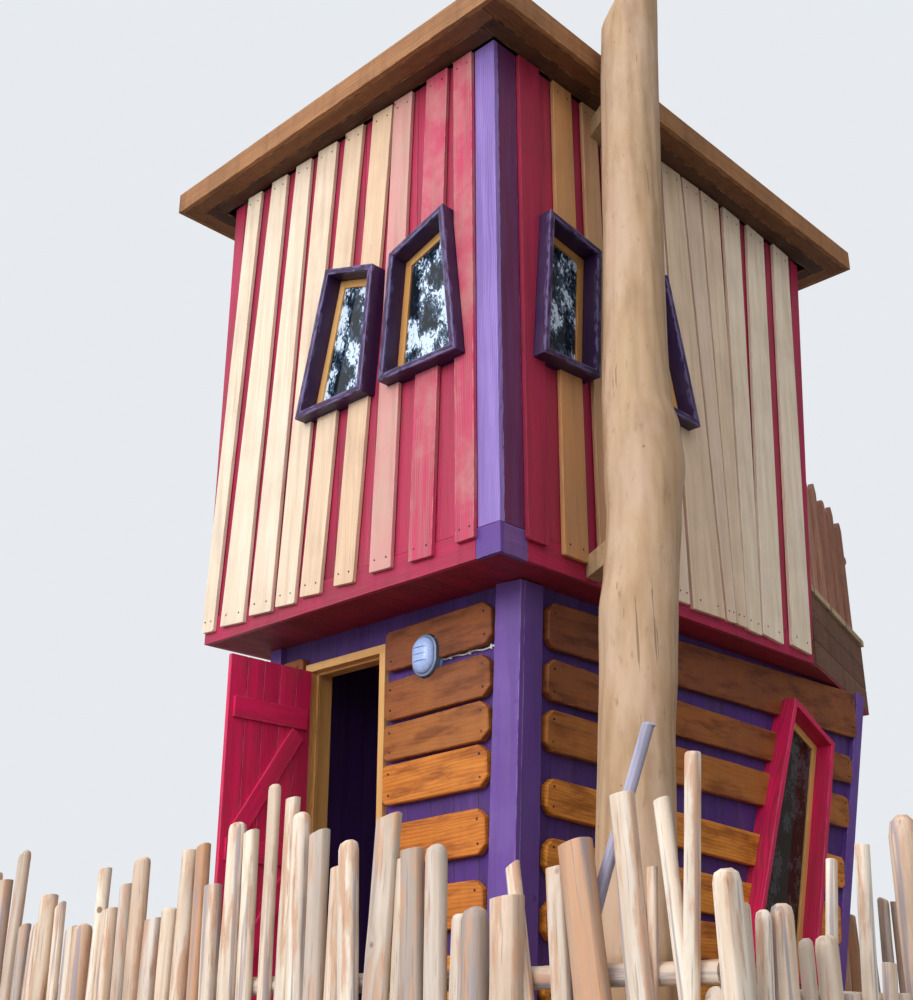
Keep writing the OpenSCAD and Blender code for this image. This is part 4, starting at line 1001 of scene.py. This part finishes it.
near, far, top, foot = .905, 1.465, 3.41, 1.402
rows = [plank((x, y0, z0), (x, y1, z1), LEFT, width, thick, look=(tone, .5))
        for x, y0, z0, y1, z1, width, thick, tone in (
    (.065, near - .0225, foot, near - .0225, top, .044, .16, .3),
    (.065, far + .0225, foot, far + .0225, top, .044, .16, .6),
    (.065, near - .045, top + .0225, far + .045, top + .0225, .044, .16, .1),
    (-.029, near + .007, foot, near + .007, top - .014, .014, .02, .1),
    (-.029, far - .007, foot, far - .007, top - .014, .014, .02, .8),
    (-.029, near, top - .007, far, top - .007, .014, .02, .5))]
settle(grown("door_frame_boards", rows, boards, sash_wood, {"Wobble": .001}), "golden_sash", "door_frame")
dress(iron, "door_pintles", "door_straps")


# Lamp: an oval bulkhead light, blue-grey enamelled casting with a raised rim and a ribbed frosted glass
# behind a cast guard, fed by a white cable that is clipped along the wall to the corner.
def oval_body(name, rings, material):
    """rings: (half width, off) outlines of the oval, from the wall outwards."""
    verts, steps = [], 48
    for half, off in rings:
        for x, y in circle(steps):
            rise = LAMP_RISE * (1 if y > 1e-6 else -1 if y < -1e-6 else 0) * min(1, half / .03)
            verts.append(on_side(LAMP_Y + half * x, LAMP_Z + rise + half * y, off))
    faces = [(r + k, r + (k + 1) % steps, r + steps + (k + 1) % steps, r + steps + k)
             for r in range(0, (len(rings) - 1) * steps, steps) for k in range(steps)]
    faces += [range(steps), range((len(rings) - 1) * steps, len(rings) * steps)]
    mesh = bpy.data.meshes.new(name)
    mesh.from_pydata(verts, [], faces)
    outwards(mesh)
    smoothed(mesh, 38)
    mesh.materials.append(material)
    return stand(name, mesh)


def simple_finish(name, colour, rough, other, scale, share=(.5, .7), bump=.0003):
    """Paint, plastic or felt: a base colour that a fine noise soils with another one."""
    made, tree, shader = new_material(name)
    grit = noise_over(object_place(tree), 6.0, .65, scale)
    soil = ramp(grit, *share)
    lead(blend(soil, colour, other), shader.inputs["Base Color"])
    lead(soil * .2 + rough, shader.inputs["Roughness"])
    bumped(shader, grit, .5, bump)
    return made


enamel = simple_finish("blue_grey_enamel", (.17, .22, .36), .35, (.10, .13, .20), 30.0, (.5, .75))
casting = [(.085, 0), (.085, .012), (.078, .018), (.078, .046), (.085, .050), (.085, .060), (.080, .0625),
           (.073, .0625), (.071, .058), (.02, .058)]
settle(oval_body("lamp_housing_casting", casting, enamel), "lamp_body", "lamp_housing")
frosted = simple_finish("frosted_glass", (.42, .56, .95), .18, (.28, .38, .66), 120.0, (.4, .7), .0006)
dome = [(.071 * math.cos(a), .0625 + .040 * math.sin(a) + .0016 * (k % 2))
        for k, a in ((k, math.radians(88) * k / 14) for k in range(15))]
settle(oval_body("lamp_ribbed_glass", dome, frosted), "lamp_lens", "lamp_glass")


def tube(name, path, radius, material, sides=12):
    """A round rod or cable along a path of points."""
    curve = bpy.data.curves.new(name, "CURVE")
    curve.dimensions, curve.bevel_depth, curve.bevel_resolution, curve.use_fill_caps = "3D", radius, sides // 4, True
    line = curve.splines.new("POLY")
    line.points.add(len(path) - 1)
    line.points.foreach_set("co", [c for p in path for c in (*p, 1)])
    rod = stand(name, curve)
    mesh = plain_mesh(rod)
    bpy.data.objects.remove(rod)
    mesh.name = name
    smoothed(mesh, 40)
    mesh.materials.clear()
    mesh.materials.append(material)
    return stand(name, mesh)


for i, z in enumerate((-.035, 0, .035)):
    hoop = [on_side(LAMP_Y + .062 * math.cos(a), LAMP_Z + z, .0665 + .036 * math.sin(a))
            for a in (math.pi * k / 12 for k in range(13))]
    settle(tube("lamp_guard_bar_%d" % i, hoop, .0028, enamel, 8), "lamp_body")
sheath = simple_finish("white_cable_sheath", (.80, .80, .78), .45, (.55, .53, .48), 60.0)
wire = [on_side(.075 + (.458 - .075) * k / 20, 3.300 + .004 * math.sin(k * .9) + (.004 if k == 20 else 0), .0052)
        for k in range(21)]
settle(tube("lamp_cable_run", wire, .0045, sheath), "cable_sheath", "lamp_cable")
clips = [plank(on_side(y, 3.289), on_side(y, 3.314), LEFT, .009, .013) for y in (.125, .27, .4)]
settle(grown("lamp_cable_clips", clips, boards, sheath, {"Wobble": .0}, .002), "cable_sheath")


# Upper storey: an overhanging box on joists, boarded upright in magenta-red glazed planks, with natural
# and thinly glazed boards of uneven width screwed over them, their lower ends just over the base trim.
red_wall = stained("red_planks", (.40, .10, .10), (.25, .05, .06), (.10, .02, .03), (.50, .015, .085), .93, gloss=.40,
                   boards=(.15, True), dirt=.3, grime=(.4, .2, .3))
dress(red_wall, "upper_front_wall", "upper_side_wall", "upper_back_wall", "upper_end_wall")
dress(stained("dark_red_soffit", (.30, .07, .07), (.18, .03, .04), (.08, .02, .03), (.34, .010, .040), .95, gloss=.5,
              boards=(.12, False), dirt=.4, grime=(.3, .2, .25)), "upper_soffit")
dress(stained("inside_floor", (.60, .44, .28), (.42, .28, .16), (.16, .09, .05), gloss=.5, boards=(.12, False),
              dirt=.2),
      "upper_floor", "terrace_floor")
dress(stained("inside_timber", (.52, .36, .21), (.34, .22, .12), (.12, .07, .04), gloss=.7, boards=(.5, False),
              dirt=.4),
      "upper_floor_joists", "trunk_ties")


def upper_end_x(z):
    """Where the upper storey's raking end wall stands."""
    return 2.351 + (z - 3.6) * .36 / 2.96


red_board = stained("magenta_glazed_boards", (.42, .12, .11), (.27, .06, .06), (.10, .02, .03), (.54, .018, .095), .93,
                    gloss=.34, wear_and_sheen=.3, dirt=.35, grime=(.35, .15, .3))
window_saws = [prism("window_saw_%d" % i, inset(q, -.003), place, -.2, .1) for i, (q, place) in enumerate(every_upper)]
low, high, eaves, UPPER_BACK = 3.752, 6.536, 6.53, 1.977
BATTEN, OVER = .024, .031
rows = []
for i in range(14):
    y = -.131 + (i + .5) * 2.043 / 14
    rows.append(plank(on_upper_side(y, low), on_upper_side(y + .004 * chance(i, 81), high), LEFT, .143, .026,
                      look=(chance(i, 82), .8 + .2 * chance(i, 83))))
wide = ((upper_end_x(low) + .172) / 18 - .003) * 1.06
widen = (upper_end_x(high) - upper_end_x(low)) / (upper_end_x(low) + .17) * .9
for i in range(18):
    a, b = (-.267 + (i + .5) / 18 * (upper_end_x(z) - .095 + .267) for z in (low, high))
    rows.append(plank(on_upper_front(a, low), on_upper_front(b, high), FRONT, wide, .026, (0, 0, widen),
                      (chance(i, 84), .8 + .2 * chance(i, 85))))
rows.append(plank(on_upper_front(-.194, 3.70, OVER), on_upper_front(-.178, eaves, OVER), FRONT, .158, BATTEN,
                  (.012, .001, .15), (1, .86)))
rows.append(plank((upper_end_x(3.605), 1.845, 3.605), (upper_end_x(4.12), 1.845, 4.12), (1, 0, -.12), .09, .02,
                  look=(.5, 1)))
settle(grown("upper_back_boards", rows, boards, red_board, {"Wobble": .0015}, .002, window_saws), "red_boards")


def nailed_over(place, face, table):
    """table: a board's two edges at the foot and at the top, the height of its foot, its tone and stain."""
    made = []
    for l0, l1, t0, t1, foot, tone, stain in table:
        a, b = (place(((l0 + l1) + (z - 3.7) / 2.85 * ((t0 + t1) - (l0 + l1))) / 2, z, OVER) for z in (foot, eaves))
        wide, top_wide = abs(l0 - l1), abs(t0 - t1)
        mean = (wide + top_wide) / 2
        made.append(plank(a, b, face, mean, BATTEN, (.006, .001, (top_wide - wide) / mean), (tone, stain)))
    return made


batten_wood = stained("natural_battens", (.90, .78, .63), (.74, .57, .41), (.30, .14, .07), (.62, .045, .130), .985,
                      gloss=.40, rings=.014, knots=.3, wear_and_sheen=.2, dirt=.3, second=(.70, .29, .07), grime=(.30, .20, .16))
rows = nailed_over(on_upper_side, LEFT, (
    (2.000, 1.900, 1.850, 1.706, 3.66, .0, .0), (1.833, 1.615, 1.600, 1.453, 3.66, .0, .02),
    (1.572, 1.376, 1.363, 1.219, 3.67, .0, .03), (1.339, 1.180, 1.154, .979, 3.67, .1, 1.12),
    (1.134, .971, .901, .748, 3.68, .2, 1.3), (.864, .716, .661, .494, 3.68, .25, 1.42),
    (.593, .435, .481, .337, 3.69, .2, .62), (.311, .150, .218, .054, 3.68, .3, 1.0),
    (-.007, -.130, .010, -.128, 3.70, .4, 1.0)))
rows += nailed_over(on_upper_front, FRONT, (
    (-.005, .179, .030, .187, 3.69, .9, 1.9), (.275, .425, .285, .415, 3.68, .7, 1.75),
    (.470, .650, .465, .650, 3.68, .6, 1.5), (.705, .880, .71, .86, 3.67, .5, 1.3),
    (.925, 1.035, .90, 1.035, 3.67, .5, .1), (1.062, 1.378, 1.066, 1.253, 3.66, .7, 1.1),
    (1.398, 1.477, 1.276, 1.466, 3.66, .5, .12), (1.497, 1.583, 1.483, 1.691, 3.66, .5, 1.12),
    (1.600, 1.743, 1.737, 1.934, 3.65, .3, .0), (1.762, 1.981, 2.028, 2.228, 3.65, .1, .0),
    (2.080, 2.296, 2.351, 2.544, 3.65, .0, .0)))
for i in range(12):
    a, b = (-.29 + (i + .5) / 12 * (upper_end_x(z) + .20) for z in (low, high))
    rows.append(plank((a, UPPER_BACK, 3.70), (b, UPPER_BACK, eaves), BACK, .14 + .06 * chance(i, 86), BATTEN,
                      (.006, .001, .03), (chance(i, 87), .3 * chance(i, 88) ** 2)))
for i in range(9):
    y = -.03 + i * .222
    rows.append(plank((upper_end_x(4.16), y, 4.16), (upper_end_x(eaves), y, eaves), (1, 0, -.12),
                      .13 + .05 * chance(i, 89), BATTEN, (.006, .001, .03), (chance(i, 90), .3 * chance(i, 91) ** 2)))
settle(grown("upper_battens", rows, boards, batten_wood, {"Wobble": .006, "Wave": 1.5}, .003, window_saws),
       "red_boards")
screwed("batten_screws", rows, .06, radius=.0048)

FOOT_Z, CORNER_W, TRIM_W, BASE_W = 3.675, .14, .095, .149
rows = [plank(on_upper_side(-.203, low), on_upper_side(-.203, high), LEFT, CORNER_W, TRIM, look=(.0, .4)),
        plank(on_upper_front(-.339, low), on_upper_front(-.339, high), FRONT, CORNER_W, TRIM, look=(.7, 2)),
        plank(on_upper_side(-.273, FOOT_Z), on_upper_side(-.118, FOOT_Z), LEFT, BASE_W, TRIM, look=(1, 1)),
        plank(on_upper_front(UPPER_SIDE, FOOT_Z), on_upper_front(-.25, FOOT_Z), FRONT, BASE_W, TRIM, look=(1, 1.5))]
settle(grown("upper_corner_trim", rows, boards, corner_wood, {"Wobble": .002}), "purple_boards", "upper_corner_boards")
foot_x, head_x = (upper_end_x(z) - .0475 for z in (low, high))
rows = [plank(on_upper_side(1.9595, low), on_upper_side(1.9595, high), LEFT, TRIM_W, TRIM, look=(.3, 1)),
        plank((-.339, UPPER_BACK, low), (-.339, UPPER_BACK, high), BACK, CORNER_W, TRIM, look=(.3, 1)),
        plank(on_upper_front(foot_x, low), on_upper_front(head_x, high), FRONT, .094, TRIM, look=(.2, 1)),
        plank((foot_x, UPPER_BACK, low), (head_x, UPPER_BACK, high), BACK, .094, TRIM, look=(.6, 1)),
        plank(on_upper_side(-.116, FOOT_Z), on_upper_side(2.007, FOOT_Z), LEFT, BASE_W, TRIM, look=(.3, 1)),
        plank(on_upper_front(-.248, FOOT_Z), on_upper_front(2.355, FOOT_Z), FRONT, BASE_W, TRIM, look=(.5, 1)),
        plank((UPPER_SIDE, UPPER_BACK, FOOT_Z), (2.355, UPPER_BACK, FOOT_Z), BACK, BASE_W, TRIM, look=(.5, 1))]
settle(grown("upper_base_trim_boards", rows, boards, red_board, {"Wobble": .002}), "red_boards", "upper_base_trim")


# Roof: rafters carry a flat felted deck; brown-stained boards close the eaves under it and a fascia of the
# same wood runs round the edge, its lower arris worn pale. The near-black glaze on the lining boards, heavier on
# the inner ring by the wall, is painted shade under the eaves.
# Its near-black glaze colour is put only on the eave lining, as painted shade.
eave_wood = stained("brown_stained_boards", (.43, .205, .085), (.27, .115, .045), (.12, .05, .03), (.055, .020, .016),
                    .95, gloss=.55, knots=.3, rings=.02, pale_edge=(.58, .33, .15), dirt=.35, reach=.004)
x0, x1, y0, y1 = -.679, 3.0211, -.513, 2.317
FASCIA, MITRE = .028, .0495
in_x0, in_x1, in_y0, in_y1 = x0 + FASCIA, x1 - FASCIA, y0 + FASCIA, y1 - FASCIA
rows = [plank((*a, 6.61), (*b, 6.61), face, .14, FASCIA, look=(tone, .0)) for a, b, face, tone in (
    ((x0, in_y0), (x1, in_y0), FRONT, .3), ((x0, in_y1), (x1, in_y1), BACK, .6),
    ((in_x0, in_y0), (in_x0, in_y1), LEFT, .2), ((in_x1, in_y0), (in_x1, in_y1), RIGHT, .8))]
settle(grown("roof_fascia_boards", rows, boards, eave_wood, {"Wobble": .003, "Wave": 1.0}), "eave_boards",
       "roof_fascia")
# Lining boards: the outer ring takes a little of the near-black glaze, the inner ring by the wall nearly all of it, as
# painted shade.
rows = []
for i in range(2):
    off, step = MITRE + i * .1, i * .1
    for seed, a, b in ((92, (in_x0 + step, in_y0 + off), (in_x1 - step, in_y0 + off)),
                       (93, (in_x0 + step, in_y1 - off), (in_x1 - step, in_y1 - off)),
                       (94, (in_x0 + off, y0 + .13 + step), (in_x0 + off, y1 - .13 - step)),
                       (95, (in_x1 - off, y0 + .13 + step), (in_x1 - off, y1 - .13 - step))):
        rows.append(plank((*a, 6.54), (*b, 6.54), UP, .096, .02, look=(chance(i, seed), .3 + .65 * i)))
settle(grown("roof_eave_lining", rows, boards, eave_wood, {"Wobble": .001}), "eave_boards", "roof_eave_boards")
rows = []
for i in range(6):
    x = x0 + .058 + i * (x1 - x0 - .116) / 5
    rows.append(plank((x, y0 + .029, 6.56), (x, y1 - .029, 6.56), UP, .06, .0895, look=(chance(i, 96), 0)))
settle(grown("roof_rafter_timbers", rows, boards, sawn_wood, {"Wobble": .001}), "sawn_timber", "roof_rafters")
dress(simple_finish("roofing_felt", (.070, .073, .070), .85, (.105, .105, .090), 22.0, (.35, .75), .003), "roof_boards")


# Terrace: dark brown planks round the joists' ends carry a boarded floor, reddish wavy pickets and a rough
# pole rail at the far end of the lower storey.
terrace_wood = stained("dark_brown_planks", (.34, .18, .11), (.20, .09, .055), (.07, .03, .02), (.14, .06, .035), .6,
                       gloss=.6, dirt=.45)
picket_wood = stained("reddish_pickets", (.62, .36, .25), (.42, .22, .15), (.13, .06, .04), (.40, .15, .10), .6,
                      gloss=.6, rings=.016, dirt=.5)
TERRACE_Z, TERRACE_X, RIM, TURN = 4.13, 3.86, .0435, math.radians(16)
near_x = upper_end_x(TERRACE_Z) + .033


def terrace_front(x):
    return UPPER_FRONT + (x - near_x) * math.tan(TURN)


step = Vector((math.cos(TURN), math.sin(TURN), 0))
inward = Vector((-step.y, step.x, 0))
rows = []
for i in range(3):
    z = 3.621 + (i + .5) * .1563
    front = [Vector((x, terrace_front(x), z)) + inward * RIM for x in (near_x, TERRACE_X)]
    for seed, a, b, face in ((97, *front, -inward),
                             (98, (TERRACE_X - RIM, terrace_front(TERRACE_X) + .02, z), (TERRACE_X - RIM, BACK_FACE, z),
                              RIGHT),
                             (99, (near_x, BACK_FACE - RIM, z), (TERRACE_X - RIM, BACK_FACE - RIM, z), BACK)):
        rows.append(plank(a, b, face, .153, RIM, look=(chance(i, seed), .5)))
screwed("terrace_rim_screws", rows, .05)
settle(grown("terrace_rim_planks", rows, boards, terrace_wood, {"Wobble": .003}), "terrace_wood", "terrace_frame")


def picket_row(name, start, along, length, node, seed):
    """Pickets from start along the terrace's edge, with a pole rail behind them."""
    back = Vector((-along.y, along.x, 0))
    count = math.floor(length / .225)
    rows = []
    for i in range(count):
        foot = start + along * ((i + .5) * length / count) + back * .035
        a, b = (foot + Vector((0, 0, z)) for z in (.002, .818 + .04 * (i % 2)))
        rows.append(plank(a, b, -back, .103, .035, (.002, .03 + .03 * chance(i, seed), -.1 * chance(i, seed + 1)),
                          (chance(i, seed + 2), .3 + .6 * chance(i, seed + 3))))
    settle(grown(name, rows, boards, picket_wood, {"Wobble": .014, "Wave": 3.4}, .003), "picket_wood")
    a, b = (start + along * share + back * .0575 + Vector((0, 0, .6)) for share in (.015, length - .015))
    settle(grown(name + "_rail", [pole(a, b, UP, .065, .065, look=(.6, .8))], poles, picket_wood,
                 {"Rough": .14, "Taper": .05}, 0, smooth=60), "picket_wood", node)


rail_x = upper_end_x(TERRACE_Z + .86) + .04
picket_row("terrace_front_pickets", Vector((rail_x, terrace_front(rail_x) + .005, TERRACE_Z)), step,
           (TERRACE_X - rail_x) / step.x - .065 - .07, "terrace_front_railing", 101)
picket_row("terrace_end_pickets", Vector((TERRACE_X - .005, terrace_front(TERRACE_X) + .005, TERRACE_Z)), Vector(BACK),
           BACK_FACE - terrace_front(TERRACE_X) - .01, "terrace_end_railing", 111)

for block in saws + window_saws + [trunk_hole]:
    bpy.data.objects.remove(block)
